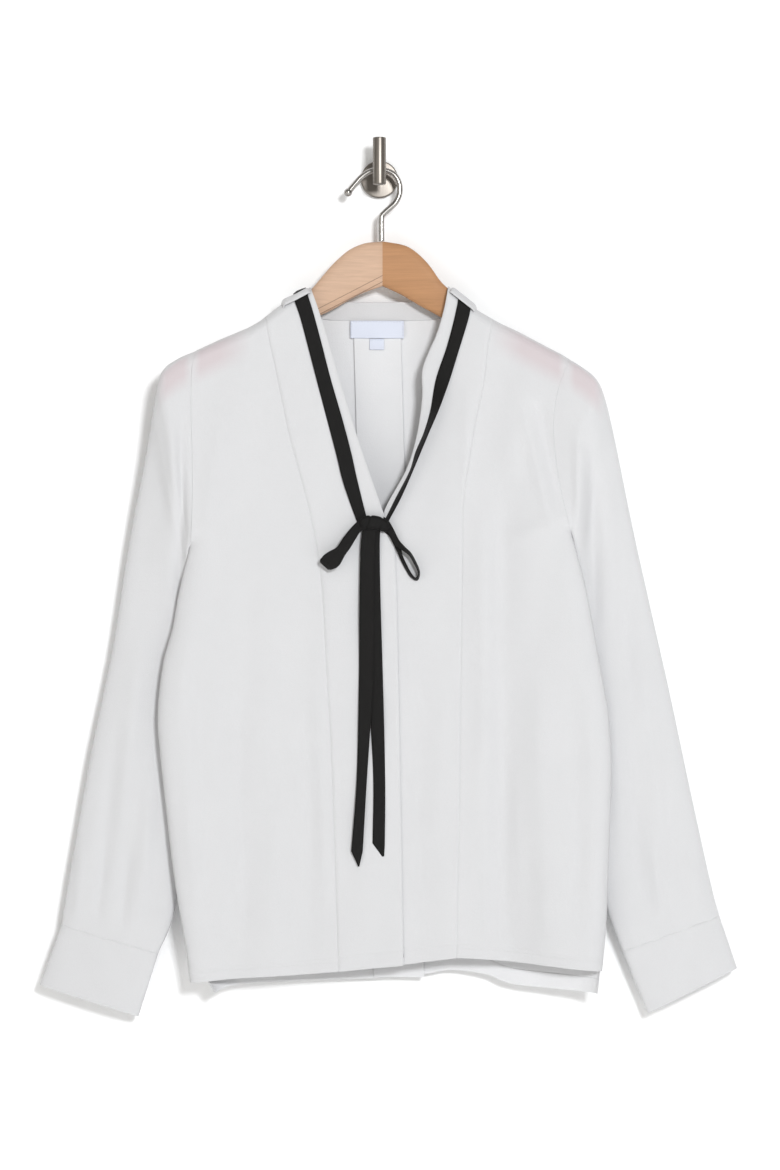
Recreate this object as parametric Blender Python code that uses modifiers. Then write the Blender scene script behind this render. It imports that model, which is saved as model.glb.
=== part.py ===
"""Tie neck blouse on its wooden hanger, hung on a wall hook. Metres, +Z up, the wall at y = 0.

Each cut piece of the blouse is a wall of cloth on a surface y = f(x, z): a front and a back surface that meet
over the hanger's arms and round the side seams. Panels fill the space between their four seams.
"""

import math

import bmesh
import bpy
import numpy as np

COLLECTION_NAME = "tie_neck_blouse"

# Walls and the clearance between neighbours.
CLOTH = 0.0012
RIBBON = 0.0010
GAP = 0.0003
SEAM = GAP / 2
LAYER = CLOTH + GAP + 0.0002

# Hanger: plane of its arms at the middle, how far they sweep forward, thickness and radius of its wire.
HANGER_Y = -0.024
HANGER_SWEEP = 0.12
WOOD_THICKNESS = 0.0115
WIRE_RADIUS = 0.0028
JOINT_X = 0.003
WOOD_UNDER_CLOTH = CLOTH / 2 + 0.0008

# Wall hook.
PLATE_RADIUS = 0.018
PLATE_THICKNESS = 0.006
PLATE_EDGE = 0.0012
POST_RADIUS = 0.0039
PEG_RADIUS = 0.0063
PEG_Y = -0.0385
PEG_TOP_Z = 0.036
PEG_BOTTOM_Z = -0.009
PEG_EDGE = 0.0008
PEG_SIDES = 24
PLATE_SIDES = 32

# Depth of the blouse: front and back at the middle, how far each comes forward at the side, the side seam.
FRONT_Y = -0.046
FRONT_CURVE = 0.014
BACK_Y = -0.012
BACK_CURVE = 0.024
SIDE_Y = -0.048
HALF_WIDTH = 0.200
SHOULDER_ROUND = 0.011
SIDE_ROUND = 0.024
# Front and back part by twice SEAM_Y at their seams, and within ON_SEAM of one count as on it.
SEAM_Y = 0.0004
ON_SEAM = 0.0002
FOLD_END_Z = -0.760
FINE = 400
# The right band laps over by this much at its free edge, and its lift ends at its seam.
LAP_LIFT = 0.0026
LIFT_FALL = 0.8
PLEAT_PARTING = 0.00085
NECK_DROP = 0.0015
# Sleeves: how full a section is, at the shoulder too, and over how many rows they leave the armhole.
SLEEVE_FULL = 0.75
SHOULDER_FULL = 0.45
SHOULDER_ROWS = 7
SLEEVE_SEAM = 0.0009
ARMHOLE_HOLD = 6
CUFF_PARTING = 0.006

# Ribbon: how far it lies off the cloth, more over the shoulder, under the loops and under the tails.
RIBBON_OFF = 0.0044
RIBBON_OVER_SHOULDER = 0.0010
LOOP_BEHIND = 0.0046
LOOP_END = 0.8
TAIL_OFF = 0.0034
KNOT_ROUND = 0.003
CARRIER_FOOT = 0.0040
CARRIER_OVER = 0.0086
CARRIER_STEEP = 8

# Hanger arms: how square their section is, its number of sides, how much thinner the tip is.
WOOD_SQUARE = 0.70
WOOD_SIDES = 12
WOOD_TIP_THINNING = 0.3

# Shoulder line over the hanger: x, z.
SHOULDER = [
    (-0.212, -0.206), (-0.206, -0.189), (-0.191, -0.177), (-0.171, -0.167), (-0.152, -0.158),
    (-0.124, -0.146), (-0.114, -0.140), (-0.095, -0.125), (-0.079, -0.113), (-0.067, -0.108),
    (-0.056, -0.098), (-0.040, -0.086), (0.000, -0.070), (0.040, -0.086), (0.056, -0.098),
    (0.067, -0.107), (0.089, -0.126), (0.096, -0.131), (0.115, -0.142), (0.134, -0.151),
    (0.154, -0.162), (0.173, -0.172), (0.192, -0.184), (0.204, -0.194), (0.214, -0.207),
]

# Seams and edges in the front view, from top to bottom: x, z. Right and left are the wearer's.
RIGHT_ARMHOLE = [
    (-0.174, -0.169), (-0.178, -0.184), (-0.179, -0.205), (-0.179, -0.235), (-0.178, -0.270),
    (-0.178, -0.311), (-0.180, -0.354),
]
RIGHT_SIDE = [
    (-0.180, -0.354), (-0.188, -0.387), (-0.192, -0.406), (-0.197, -0.435), (-0.204, -0.458),
    (-0.209, -0.490), (-0.211, -0.521), (-0.209, -0.550), (-0.204, -0.597), (-0.195, -0.673),
    (-0.184, -0.740), (-0.180, -0.771),
]
LEFT_ARMHOLE = [
    (0.181, -0.177), (0.174, -0.194), (0.169, -0.210), (0.166, -0.235), (0.167, -0.262),
    (0.172, -0.297), (0.182, -0.340),
]
LEFT_SIDE = [
    (0.182, -0.340), (0.188, -0.362), (0.197, -0.397), (0.205, -0.440), (0.213, -0.484),
    (0.218, -0.516), (0.221, -0.559), (0.220, -0.607), (0.218, -0.664), (0.216, -0.716),
    (0.212, -0.760),
]
RIGHT_BAND_SEAM = [
    (-0.109, -0.137), (-0.104, -0.164), (-0.099, -0.186), (-0.094, -0.211), (-0.086, -0.249),
    (-0.075, -0.290), (-0.066, -0.325), (-0.056, -0.382), (-0.050, -0.481), (-0.045, -0.575),
    (-0.039, -0.761),
]
RIGHT_BAND_EDGE = [
    (-0.066, -0.109), (-0.056, -0.138), (-0.037, -0.201), (-0.018, -0.262), (0.004, -0.325),
    (0.014, -0.356), (0.018, -0.480), (0.023, -0.755),
]
LEFT_BAND_SEAM = [
    (0.109, -0.139), (0.104, -0.161), (0.100, -0.197), (0.092, -0.236), (0.085, -0.279),
    (0.080, -0.313), (0.079, -0.368), (0.077, -0.533), (0.074, -0.748),
]
LEFT_BAND_EDGE = [
    (0.066, -0.108), (0.062, -0.130), (0.055, -0.154), (0.047, -0.172), (0.041, -0.190),
    (0.041, -0.215), (0.036, -0.250), (0.026, -0.283), (0.004, -0.325), (0.003, -0.356),
    (0.006, -0.480), (0.010, -0.756),
]
RIGHT_HEM = [(-0.039, -0.761), (-0.075, -0.764), (-0.132, -0.767), (-0.180, -0.771)]
LEFT_HEM = [(0.074, -0.748), (0.096, -0.749), (0.143, -0.753), (0.212, -0.760)]
NECK_SEAM = [
    (-0.0917, -0.1235), (-0.076, -0.129), (-0.060, -0.1345), (-0.045, -0.137), (0.000, -0.1375),
    (0.045, -0.137), (0.060, -0.1345), (0.076, -0.130), (0.0929, -0.1285),
]
NECK_EDGE = [
    (-0.067, -0.108), (-0.060, -0.113), (-0.048, -0.117), (-0.030, -0.119), (0.030, -0.119),
    (0.048, -0.117), (0.060, -0.113), (0.067, -0.107),
]
BACK_RIGHT_SIDE = RIGHT_SIDE[:-3] + [(-0.192, -0.690), (-0.170, -0.755), (-0.157, -0.781)]
BACK_LEFT_SIDE = LEFT_SIDE[:-2] + [(0.214, -0.725), (0.208, -0.782)]
BACK_HEM = [
    (-0.157, -0.781), (-0.123, -0.775), (0.001, -0.771), (0.043, -0.767), (0.068, -0.763),
    (0.102, -0.767), (0.130, -0.776), (0.208, -0.782),
]

# Centre back inverted pleat: z, its middle x, half its width.
PLEAT = [(-0.137, -0.0025, 0.0225), (-0.261, 0.001, 0.0225), (-0.770, 0.019, 0.024)]

# Sleeve sections: outer x, outer z, inner x, inner z, outer y, inner y, half depth.
RIGHT_SLEEVE = [
    (-0.1740, -0.169, -0.1800, -0.353, -0.048, -0.048, 0.012),
    (-0.1920, -0.177, -0.1865, -0.356, -0.048, -0.043, 0.015),
    (-0.2070, -0.190, -0.1870, -0.364, -0.048, -0.037, 0.017),
    (-0.2140, -0.217, -0.1855, -0.382, -0.043, -0.030, 0.016),
    (-0.2220, -0.262, -0.1850, -0.412, -0.034, -0.024, 0.014),
    (-0.2400, -0.354, -0.1850, -0.470, -0.025, -0.021, 0.013),
    (-0.2560, -0.454, -0.1865, -0.535, -0.022, -0.021, 0.013),
    (-0.2760, -0.550, -0.1880, -0.600, -0.022, -0.022, 0.014),
    (-0.2930, -0.646, -0.1910, -0.660, -0.022, -0.022, 0.013),
    (-0.3020, -0.698, -0.1990, -0.712, -0.022, -0.022, 0.012),
    (-0.3050, -0.719, -0.2130, -0.746, -0.022, -0.022, 0.010),
]
LEFT_SLEEVE = [
    (0.1810, -0.177, 0.1820, -0.339, -0.048, -0.048, 0.012),
    (0.1940, -0.1855, 0.1890, -0.342, -0.048, -0.043, 0.015),
    (0.2060, -0.196, 0.1900, -0.350, -0.048, -0.037, 0.017),
    (0.2140, -0.212, 0.1895, -0.366, -0.043, -0.030, 0.016),
    (0.2240, -0.250, 0.1900, -0.396, -0.034, -0.024, 0.014),
    (0.2420, -0.335, 0.1920, -0.456, -0.025, -0.021, 0.013),
    (0.2600, -0.415, 0.1950, -0.520, -0.022, -0.021, 0.013),
    (0.2780, -0.495, 0.1995, -0.584, -0.022, -0.022, 0.014),
    (0.2990, -0.594, 0.2060, -0.648, -0.022, -0.022, 0.013),
    (0.3180, -0.680, 0.2190, -0.704, -0.022, -0.022, 0.012),
    (0.3260, -0.710, 0.2340, -0.744, -0.022, -0.022, 0.010),
]
# Cuffs run from the last sleeve section to these: outer x, outer z, inner x, inner z.
RIGHT_CUFF_END = (-0.326, -0.776, -0.232, -0.806)
LEFT_CUFF_END = (0.343, -0.760, 0.258, -0.803)
CUFF_HALF_DEPTH = 0.010

# Soft folds in the front: x at the top, x at the hem, top z, half width, depth (back above 0).
FRONT_FOLDS = [
    (0.122, 0.122, -0.450, 0.034, 0.006),
    (0.168, 0.176, -0.560, 0.024, -0.004),
    (-0.150, -0.138, -0.430, 0.026, 0.004),
    (-0.088, -0.070, -0.520, 0.018, 0.003),
]

# Ribbon round the neck, up the right band, behind the neck band and down the left band:
# outer edge x, z, inner edge x, z, face (-1 front, 0 over the shoulder, 1 back), how far the outer edge stands out.
RIBBON_PATH = [
    (-0.0220, -0.3300, -0.0130, -0.3258, -1, 0), (-0.034, -0.296, -0.021, -0.292, -1, 0),
    (-0.041, -0.268, -0.027, -0.265, -1, 0), (-0.050, -0.236, -0.036, -0.233, -1, 0),
    (-0.060, -0.199, -0.047, -0.196, -1, 0), (-0.068, -0.168, -0.055, -0.165, -1, 0),
    (-0.076, -0.138, -0.063, -0.133, -1, 0), (-0.084, -0.123, -0.071, -0.115, -0.6, 0),
    (-0.084, -0.116, -0.073, -0.110, 0, 0), (-0.078, -0.124, -0.070, -0.112, 0.6, 0),
    (-0.070, -0.1305, -0.064, -0.1165, 0.8, 0), (-0.058, -0.135, -0.055, -0.121, 1, 0),
    (-0.030, -0.137, -0.029, -0.123, 1, 0),
    (0.000, -0.137, 0.000, -0.123, 1, 0), (0.030, -0.137, 0.029, -0.123, 1, 0),
    (0.058, -0.135, 0.055, -0.121, 1, 0), (0.071, -0.1305, 0.065, -0.1165, 0.8, 0),
    (0.080, -0.124, 0.072, -0.112, 0.6, 0),
    (0.087, -0.1243, 0.075, -0.1138, 0, 0), (0.087, -0.1290, 0.075, -0.1210, -0.6, 0),
    (0.084, -0.142, 0.071, -0.140, -1, 0), (0.076, -0.168, 0.064, -0.166, -1, 0),
    (0.067, -0.197, 0.054, -0.196, -1, 0.002), (0.057, -0.224, 0.049, -0.225, -1, 0.010),
    (0.048, -0.245, 0.043, -0.246, -1, 0.0125), (0.040, -0.264, 0.035, -0.265, -1, 0.0125),
    (0.032, -0.283, 0.029, -0.284, -1, 0.012), (0.021, -0.308, 0.016, -0.309, -1, 0.010),
    (0.0115, -0.3262, 0.0030, -0.3255, -1, 0.006),
]

# Bow: the knot's middle and size, then each loop as a strip: upper edge x, z, lower edge x, z, how far out.
KNOT_CENTRE = (-0.005, -0.0550, -0.334)
KNOT_SIZE = (0.029, 0.009, 0.014)
RIGHT_LOOP = [
    (-0.021, -0.330, -0.020, -0.339, 0.0030), (-0.027, -0.338, -0.023, -0.347, 0.0050),
    (-0.035, -0.349, -0.028, -0.358, 0.0058), (-0.045, -0.358, -0.037, -0.369, 0.0060),
    (-0.056, -0.368, -0.046, -0.376, 0.0052),
]
LEFT_LOOP = [
    (0.0112, -0.330, 0.0104, -0.339, 0.0030), (0.0145, -0.338, 0.0110, -0.347, 0.0052),
    (0.021, -0.350, 0.014, -0.358, 0.0070), (0.030, -0.361, 0.022, -0.371, 0.0078),
    (0.039, -0.378, 0.031, -0.387, 0.0070),
]
# Tails: left edge x, z, right edge x, z, how far in front of the bands.
RIGHT_TAIL = [
    (-0.0155, -0.3418, -0.0020, -0.3418, 0.0056), (-0.0180, -0.359, -0.0042, -0.359, 0.0050),
    (-0.0190, -0.406, -0.0052, -0.406, 0.0040), (-0.0195, -0.484, -0.0060, -0.484, 0.0030),
    (-0.0210, -0.577, -0.0115, -0.577, 0.0026), (-0.0265, -0.644, -0.0150, -0.643, 0.0026),
    (-0.0225, -0.653, -0.0185, -0.655, 0.0026),
]
LEFT_TAIL = [
    (-0.0120, -0.3418, 0.0010, -0.3418, 0.0034), (-0.0130, -0.359, 0.0004, -0.359, 0.0030),
    (-0.0125, -0.406, 0.0012, -0.406, 0.0020), (-0.0100, -0.484, 0.0035, -0.484, 0.0010),
    (-0.0060, -0.577, 0.0060, -0.577, 0.0010), (-0.0065, -0.633, 0.0050, -0.640, 0.0010),
    (0.0020, -0.645, 0.0046, -0.647, 0.0010),
]
# Carrier loops over the ribbon: first foot x, z, second foot x, z.
RIGHT_CARRIER = (-0.0935, -0.1255, -0.0655, -0.1105)
LEFT_CARRIER = (0.0955, -0.1330, 0.0665, -0.1110)
CARRIER_WIDTH = 0.005

# Label and size tag on the back, under the neck band: left x, right x, top z, bottom z.
LABEL = (-0.028, 0.0235, -0.1375, -0.1545)
SIZE_TAG = (-0.0095, 0.0045, -0.1550, -0.1655)

# Hanger arms: x, top z, bottom z.
RIGHT_ARM = [
    (JOINT_X - GAP / 2, -0.062, -0.105), (-0.014, -0.064, -0.111), (-0.028, -0.070, -0.118),
    (-0.038, -0.078, -0.124), (-0.047, -0.087, -0.129), (-0.057, -0.099, -0.134),
    (-0.067, -0.110, -0.139), (-0.079, -0.115, -0.145), (-0.095, -0.127, -0.153), (-0.114, None, -0.163),
    (-0.124, None, -0.168), (-0.152, None, -0.182), (-0.171, -0.1696, -0.192), (-0.191, -0.1802, -0.201),
    (-0.200, -0.188, -0.203), (-0.204, -0.192, -0.201),
]
LEFT_ARM = [
    (JOINT_X + GAP / 2, -0.062, -0.105), (0.020, -0.065, -0.113), (0.030, -0.069, -0.119),
    (0.040, -0.077, -0.125), (0.049, -0.087, -0.130), (0.058, -0.100, -0.135),
    (0.067, -0.109, -0.140), (0.089, -0.128, -0.151), (0.096, None, -0.155), (0.115, None, -0.165),
    (0.134, None, -0.175), (0.154, None, -0.186), (0.173, None, -0.196), (0.192, None, -0.206),
    (0.202, -0.195, -0.209), (0.206, -0.199, -0.207),
]
HOOK_PATH = [
    (0.002, -0.0616), (0.002, -0.040), (0.0045, -0.035), (0.010, -0.030), (0.016, -0.024),
    (0.0195, -0.015), (0.0185, -0.005), (0.0125, 0.0035), (0.001, 0.0070), (-0.009, 0.0052),
    (-0.017, 0.0000), (-0.023, -0.0065), (-0.0285, -0.0130),
]
# Ball at the hook's tip: distance past the wire's end, radius as a share of the wire's.
HOOK_BALL = [(0.0008, 1.3), (0.0030, 1.42), (0.0052, 1.3), (0.0068, 0.8)]

# Steps across and down a front, a band and the back, closer where the cloth turns over a shoulder or a side.
TURN = [0, 0.003, 0.009, 0.018]
FRONT_ACROSS = [0, 0.10, 0.22, 0.35, 0.48, 0.60, 0.72, 0.82, 0.90, 0.95, 0.985, 1]
FRONT_DOWN = TURN + list(np.linspace(0.04, 0.31, 10)) + list(np.linspace(0.37, 1, 10))
BAND_ACROSS = [0, 0.25, 0.5, 0.75, 1]
BACK_ACROSS = [0, 0.015, 0.05, 0.10, 0.20, 0.34, 0.48, 0.51, 0.57, 0.66, 0.75, 0.87, 1]
BACK_DOWN = TURN + list(np.linspace(0.04, 0.34, 9)) + list(np.linspace(0.43, 1, 7))
NECK_ALONG = [0, 0.006, 0.015, 0.03] + list(np.linspace(0.06, 0.94, 17)) + [0.97, 0.985, 0.994, 1]
SLEEVE_ROUND = 24


def smooth(table, count):
    """Points at even steps along a Catmull-Rom curve through a table's rows."""
    rows = np.array(table, float)
    if len(rows) == 2:
        return rows[0] + (rows[1] - rows[0]) * np.linspace(0, 1, count)[:, None]
    padded = np.vstack([2 * rows[0] - rows[1], rows, 2 * rows[-1] - rows[-2]])
    step = np.linalg.norm(np.diff(rows[:, :2], axis=0), axis=1)
    length = np.concatenate([[0], np.cumsum(step)])
    at = np.linspace(0, length[-1], count)
    i = np.clip(np.searchsorted(length, at, side="right") - 1, 0, len(rows) - 2)
    t = ((at - length[i]) / step[i])[:, None]
    p0, p1, p2, p3 = (padded[i + k] for k in range(4))
    return 0.5 * (2 * p1 + (p2 - p0) * t + (2 * p0 - 5 * p1 + 4 * p2 - p3) * t**2
                  + (3 * p1 - p0 - 3 * p2 + p3) * t**3)


def by_row(table, per_row):
    """The same curve, with even steps from one row of the table to the next."""
    rows = np.array(table, float)
    padded = np.vstack([2 * rows[0] - rows[1], rows, 2 * rows[-1] - rows[-2]])
    at = np.linspace(0, len(rows) - 1, (len(rows) - 1) * per_row + 1)
    i = np.minimum(at.astype(int), len(rows) - 2)
    t = (at - i)[:, None]
    p0, p1, p2, p3 = (padded[i + k] for k in range(4))
    return 0.5 * (2 * p1 + (p2 - p0) * t + (2 * p0 - 5 * p1 + 4 * p2 - p3) * t**2
                  + (3 * p1 - p0 - 3 * p2 + p3) * t**3)


def quarter_round(t):
    """Rises from 0 to 1 as a quarter circle does, and stays at 1."""
    return np.sqrt(np.clip(1 - (1 - np.clip(t, 0, 1)) ** 2, 0, 1))


def distance_to(curve, x, z):
    """Shortest distance from each point to a polyline in the front view."""
    best = np.full(np.shape(x), 1.0)
    for (ax, az), (bx, bz) in zip(curve[:-1], curve[1:]):
        dx, dz = bx - ax, bz - az
        t = np.clip(((x - ax) * dx + (z - az) * dz) / (dx * dx + dz * dz), 0, 1)
        best = np.minimum(best, np.hypot(x - ax - t * dx, z - az - t * dz))
    return np.maximum(best - ON_SEAM, 0)


def shoulder_z(x):
    line = np.array(SHOULDER)
    return np.interp(x, line[:, 0], line[:, 1])


def shoulder_edge(x_from, x_to):
    return [(x, float(shoulder_z(x))) for x in np.linspace(x_from, x_to, 7)]


def hanger_y(x):
    return HANGER_Y - HANGER_SWEEP * np.abs(x)


def wall_y(x, z, flat, sides):
    """A flat depth, rounded to the hanger's plane at the shoulder line and to the seam's plane at each side."""
    top = hanger_y(x)
    y = top + (flat - top) * quarter_round((shoulder_z(x) - z - ON_SEAM / 2) / SHOULDER_ROUND)
    side = np.minimum(*(distance_to(curve, x, z) for curve in sides))
    return SIDE_Y + (y - SIDE_Y) * quarter_round(side / SIDE_ROUND)


def front_y(x, z):
    flat = FRONT_Y - FRONT_CURVE * (x / HALF_WIDTH) ** 2
    for top_x, hem_x, top_z, half, depth in FRONT_FOLDS:
        down = np.clip((top_z - z) / (top_z - FOLD_END_Z), 0, 1)
        middle = top_x + (hem_x - top_x) * down
        flat = flat + depth * down**0.7 * np.exp(-(((x - middle) / half) ** 2))
    return wall_y(x, z, flat, (smooth(RIGHT_SIDE, 60), smooth(LEFT_SIDE, 60))) - SEAM_Y


def back_y(x, z):
    flat = BACK_Y - BACK_CURVE * (x / HALF_WIDTH) ** 2
    return wall_y(x, z, flat, (smooth(BACK_RIGHT_SIDE, 60), smooth(BACK_LEFT_SIDE, 60))) + SEAM_Y


def fill(inner, outer, top, bottom, across, down):
    """Points (x, z) between four seams: the sum of both pairs' blends less the corners' blend."""
    u, v = np.array(across)[:, None, None], np.array(down)[None, :, None]

    def at(table, steps):
        fine = smooth(table, FINE)
        k = steps.ravel() * (FINE - 1)
        return np.stack([np.interp(k, np.arange(FINE), fine[:, c]) for c in range(2)], 1)

    a, b = at(inner, v)[None], at(outer, v)[None]
    c, d = at(top, u)[:, None], at(bottom, u)[:, None]
    corners = ((1 - u) * (1 - v) * a[:, :1] + u * (1 - v) * b[:, :1]
               + (1 - u) * v * a[:, -1:] + u * v * b[:, -1:])
    return (1 - u) * a + u * b + (1 - v) * c + v * d - corners


def lay(x, z, face, off):
    """A point moved out from the front (face below 0), the shoulder line (0) or the back (above 0)."""
    top_z = shoulder_z(x)
    z = np.where(face == 0, top_z, z)
    y = np.where(face < 0, front_y(x, z), np.where(face > 0, back_y(x, z), hanger_y(x)))
    out_y = y - hanger_y(x)
    out_z = np.maximum(z - top_z + SHOULDER_ROUND, 0)
    length = np.hypot(out_y, out_z)
    return np.stack([x, y + off * out_y / length, z + off * out_z / length], -1)


def material(name, colour, roughness, metallic=0.0):
    made = bpy.data.materials.new(name)
    made.use_nodes = True
    shader = made.node_tree.nodes["Principled BSDF"]
    shader.inputs["Base Color"].default_value = (*colour, 1)
    shader.inputs["Roughness"].default_value = roughness
    shader.inputs["Metallic"].default_value = metallic
    made.diffuse_color = (*colour, 1)
    return made


def add_object(name, data, finish):
    data.materials.append(finish)
    made = bpy.data.objects.new(name, data)
    bpy.data.collections[COLLECTION_NAME].objects.link(made)
    return made


def cloth(name, points, finish, thickness=CLOTH, tube=False):
    """A wall of cloth on a grid of points, across by down, or on rings that close on themselves."""
    across, down = points.shape[:2]
    columns = across if tube else across - 1
    i, j = np.meshgrid(np.arange(columns), np.arange(down - 1), indexing="ij")
    k = (i + 1) % across
    faces = np.stack([i * down + j, k * down + j, k * down + j + 1, i * down + j + 1], -1).reshape(-1, 4)
    mesh = bpy.data.meshes.new(name)
    mesh.from_pydata(points.reshape(-1, 3).tolist(), [], faces.tolist())
    mesh.validate()
    mesh.shade_smooth()
    made = add_object(name, mesh, finish)
    wall = made.modifiers.new("wall", "SOLIDIFY")
    wall.thickness = thickness
    wall.offset = 0
    return made


def seam_gap(points, toward_u0, toward_u1):
    """Moves the first and the last column in from their seams by half the clearance."""
    u = np.linspace(0, 1, len(points))[:, None]
    points[..., 0] += SEAM * (toward_u0 * (1 - u) + toward_u1 * u)
    return points


def front_panel(name, armhole, side, band_seam, hem, sign, finish):
    top = shoulder_edge(band_seam[0][0], armhole[0][0])
    xz = fill(band_seam, armhole + side[1:], top, hem, FRONT_ACROSS, FRONT_DOWN)
    xz = seam_gap(xz, sign, -sign)
    xz[:, 0, 1] = shoulder_z(xz[:, 0, 0])
    y = front_y(xz[..., 0], xz[..., 1])
    return cloth(name, np.stack([xz[..., 0], y, xz[..., 1]], -1), finish)


def band_panel(name, edge, seam, hem, sign, lift, finish):
    """A band down one front's edge. It stands off the front's surface by a lift that ends at its seam."""
    top = shoulder_edge(edge[0][0], seam[0][0])
    xz = fill(edge, seam, top, hem, BAND_ACROSS, FRONT_DOWN)
    xz = seam_gap(xz, 0, -sign)
    xz[:, 0, 1] = shoulder_z(xz[:, 0, 0])
    u = np.array(BAND_ACROSS)[:, None]
    y = front_y(xz[..., 0], xz[..., 1]) - lift * (1 - u) ** LIFT_FALL
    return cloth(name, np.stack([xz[..., 0], y, xz[..., 1]], -1), finish)


def neck_band(finish):
    xz = fill(NECK_SEAM, NECK_EDGE, [NECK_SEAM[0], NECK_EDGE[0]], [NECK_SEAM[-1], NECK_EDGE[-1]],
              [0, 0.3, 0.65, 1], NECK_ALONG)
    for end in (0, -1):
        xz[:, end, 1] = shoulder_z(xz[:, end, 0])
    y = back_y(xz[..., 0], xz[..., 1])
    return cloth("neck_band", np.stack([xz[..., 0], y, xz[..., 1]], -1), finish)


def half_turn(x, lift, way):
    """Three points round a fold that starts at a lift and ends one layer further forward."""
    angle = np.radians([45, 90, 135])
    radius = LAYER / 2
    return [(x + way * radius * math.sin(a), lift + radius * (1 - math.cos(a))) for a in angle]


def pleat_path(half):
    """Offset from the pleat's middle and lift forward, through both halves of an inverted pleat."""
    near, far = PLEAT_PARTING + LAYER / 2, half - LAYER / 2
    left = [(-near, 0), *half_turn(-near, 0, 1), (-near, LAYER), (-(near + far) / 2, LAYER), (-far, LAYER),
            *half_turn(-far, LAYER, -1), (-far, 2 * LAYER), (-far / 2, 2 * LAYER)]
    return left + [(0, 2 * LAYER)] + [(-x, lift) for x, lift in reversed(left)]


def back_panel(finish):
    """The back: two halves that run into the pleat's folds, each column on its own line from neck to hem."""
    right_edge = np.vstack([smooth(RIGHT_ARMHOLE, 60), smooth(BACK_RIGHT_SIDE, 90)[1:]])
    left_edge = np.vstack([smooth(LEFT_ARMHOLE, 60), smooth(BACK_LEFT_SIDE, 90)[1:]])
    pleat = np.array(PLEAT)
    neck = smooth(NECK_SEAM, 60)
    hem = smooth(BACK_HEM, 80)
    down = np.array(BACK_DOWN)

    def edge_x(edge, z):
        return np.interp(-z, -edge[:, 1], edge[:, 0])

    def pleat_at(z, column):
        return np.interp(-z, -pleat[:, 0], pleat[:, column])

    def top_z(x):
        return np.where((x > neck[0, 0]) & (x < neck[-1, 0]),
                        np.interp(x, neck[:, 0], neck[:, 1]) - 2 * GAP - NECK_DROP * (x / neck[0, 0]) ** 4,
                        shoulder_z(x))

    def line(x_top, x_hem):
        return top_z(x_top) + (np.interp(x_hem, hem[:, 0], hem[:, 1]) - top_z(x_top)) * down

    columns = []
    folds = len(pleat_path(pleat[0, 2]))
    for edge, sign in ((right_edge, 1), (left_edge, -1)):
        side = []
        for share in BACK_ACROSS[:-1]:
            ends = [edge[k, 0] + (pleat_at(pleat[k, 0], 1) - edge[k, 0]) * share for k in (0, -1)]
            z = line(*ends)
            start = edge_x(edge, z) + sign * SEAM
            stop = pleat_at(z, 1) - sign * (PLEAT_PARTING + LAYER / 2)
            x = start + (stop - start) * share
            z[0] = top_z(x[0])
            side.append(np.stack([x, back_y(x, z), z], 1))
        columns.append(side)
    middle = []
    for k in range(folds):
        z = line(pleat[0, 1], pleat[-1, 1])
        offset, lift = np.array([pleat_path(h)[k] for h in pleat_at(z, 2)]).T
        x = pleat_at(z, 1) + offset
        middle.append(np.stack([x, back_y(x, z) - lift, z], 1))
    return cloth("back", np.array(columns[0] + middle + columns[1][::-1]), finish)


def sleeve_bulge(angle, row):
    """Depth round a section, from -1 to 1: fuller at its outer end where it lies over the hanger's tip."""
    near_shoulder = np.clip(1 - row / SHOULDER_ROWS, 0, 1) * (np.cos(angle) > 0)
    full = SLEEVE_FULL + (SHOULDER_FULL - SLEEVE_FULL) * near_shoulder
    return np.sign(np.sin(angle)) * np.abs(np.sin(angle)) ** full


def sleeve(name, table, armhole, sign, finish):
    """Rings that start on the armhole, front half then back half, and end at the cuff's seam."""
    rows = by_row(table, 2)
    seam = smooth(armhole, FINE)
    angle = 2 * math.pi * np.arange(SLEEVE_ROUND) / SLEEVE_ROUND
    share = (1 - np.cos(angle)) / 2
    first_x = np.interp(share * (FINE - 1), np.arange(FINE), seam[:, 0]) + sign * SLEEVE_SEAM
    first_z = np.interp(share * (FINE - 1), np.arange(FINE), seam[:, 1])
    first_y = np.where(np.sin(angle) >= 0, front_y(first_x, first_z), back_y(first_x, first_z))
    rings = []
    for k, (ox, oz, ix, iz, oy, iy, half) in enumerate(rows):
        x, z = ox + (ix - ox) * share, oz + (iz - oz) * share
        bulge = sleeve_bulge(angle, k)
        y = oy + (iy - oy) * share - half * bulge
        hold = max(0.0, 1 - k / ARMHOLE_HOLD) ** 2
        x = x + hold * (first_x - rows[0][0] - (rows[0][2] - rows[0][0]) * share)
        z = z + hold * (first_z - rows[0][1] - (rows[0][3] - rows[0][1]) * share)
        y = y + hold * (first_y - (SIDE_Y - rows[0][6] * bulge))
        rings.append(np.stack([x, y, z], 1))
    return cloth(name, np.stack(rings, 1)[::sign], finish, tube=True)


def cuff(name, start, end, sign, finish):
    """A short straight tube under the sleeve's last section."""
    angle = 2 * math.pi * np.arange(SLEEVE_ROUND) / SLEEVE_ROUND
    share = (1 - np.cos(angle)) / 2
    bulge = sleeve_bulge(angle, SHOULDER_ROWS)
    rings = []
    for t in (CUFF_PARTING, 0.25, 0.5, 0.75, 1.0):
        ox, oz, ix, iz = (start[k] + (end[k] - start[k]) * t for k in range(4))
        rings.append(np.stack([ox + (ix - ox) * share, start[5] - CUFF_HALF_DEPTH * bulge,
                               oz + (iz - oz) * share], 1))
    return cloth(name, np.stack(rings, 1)[::sign], finish, tube=True)


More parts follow.
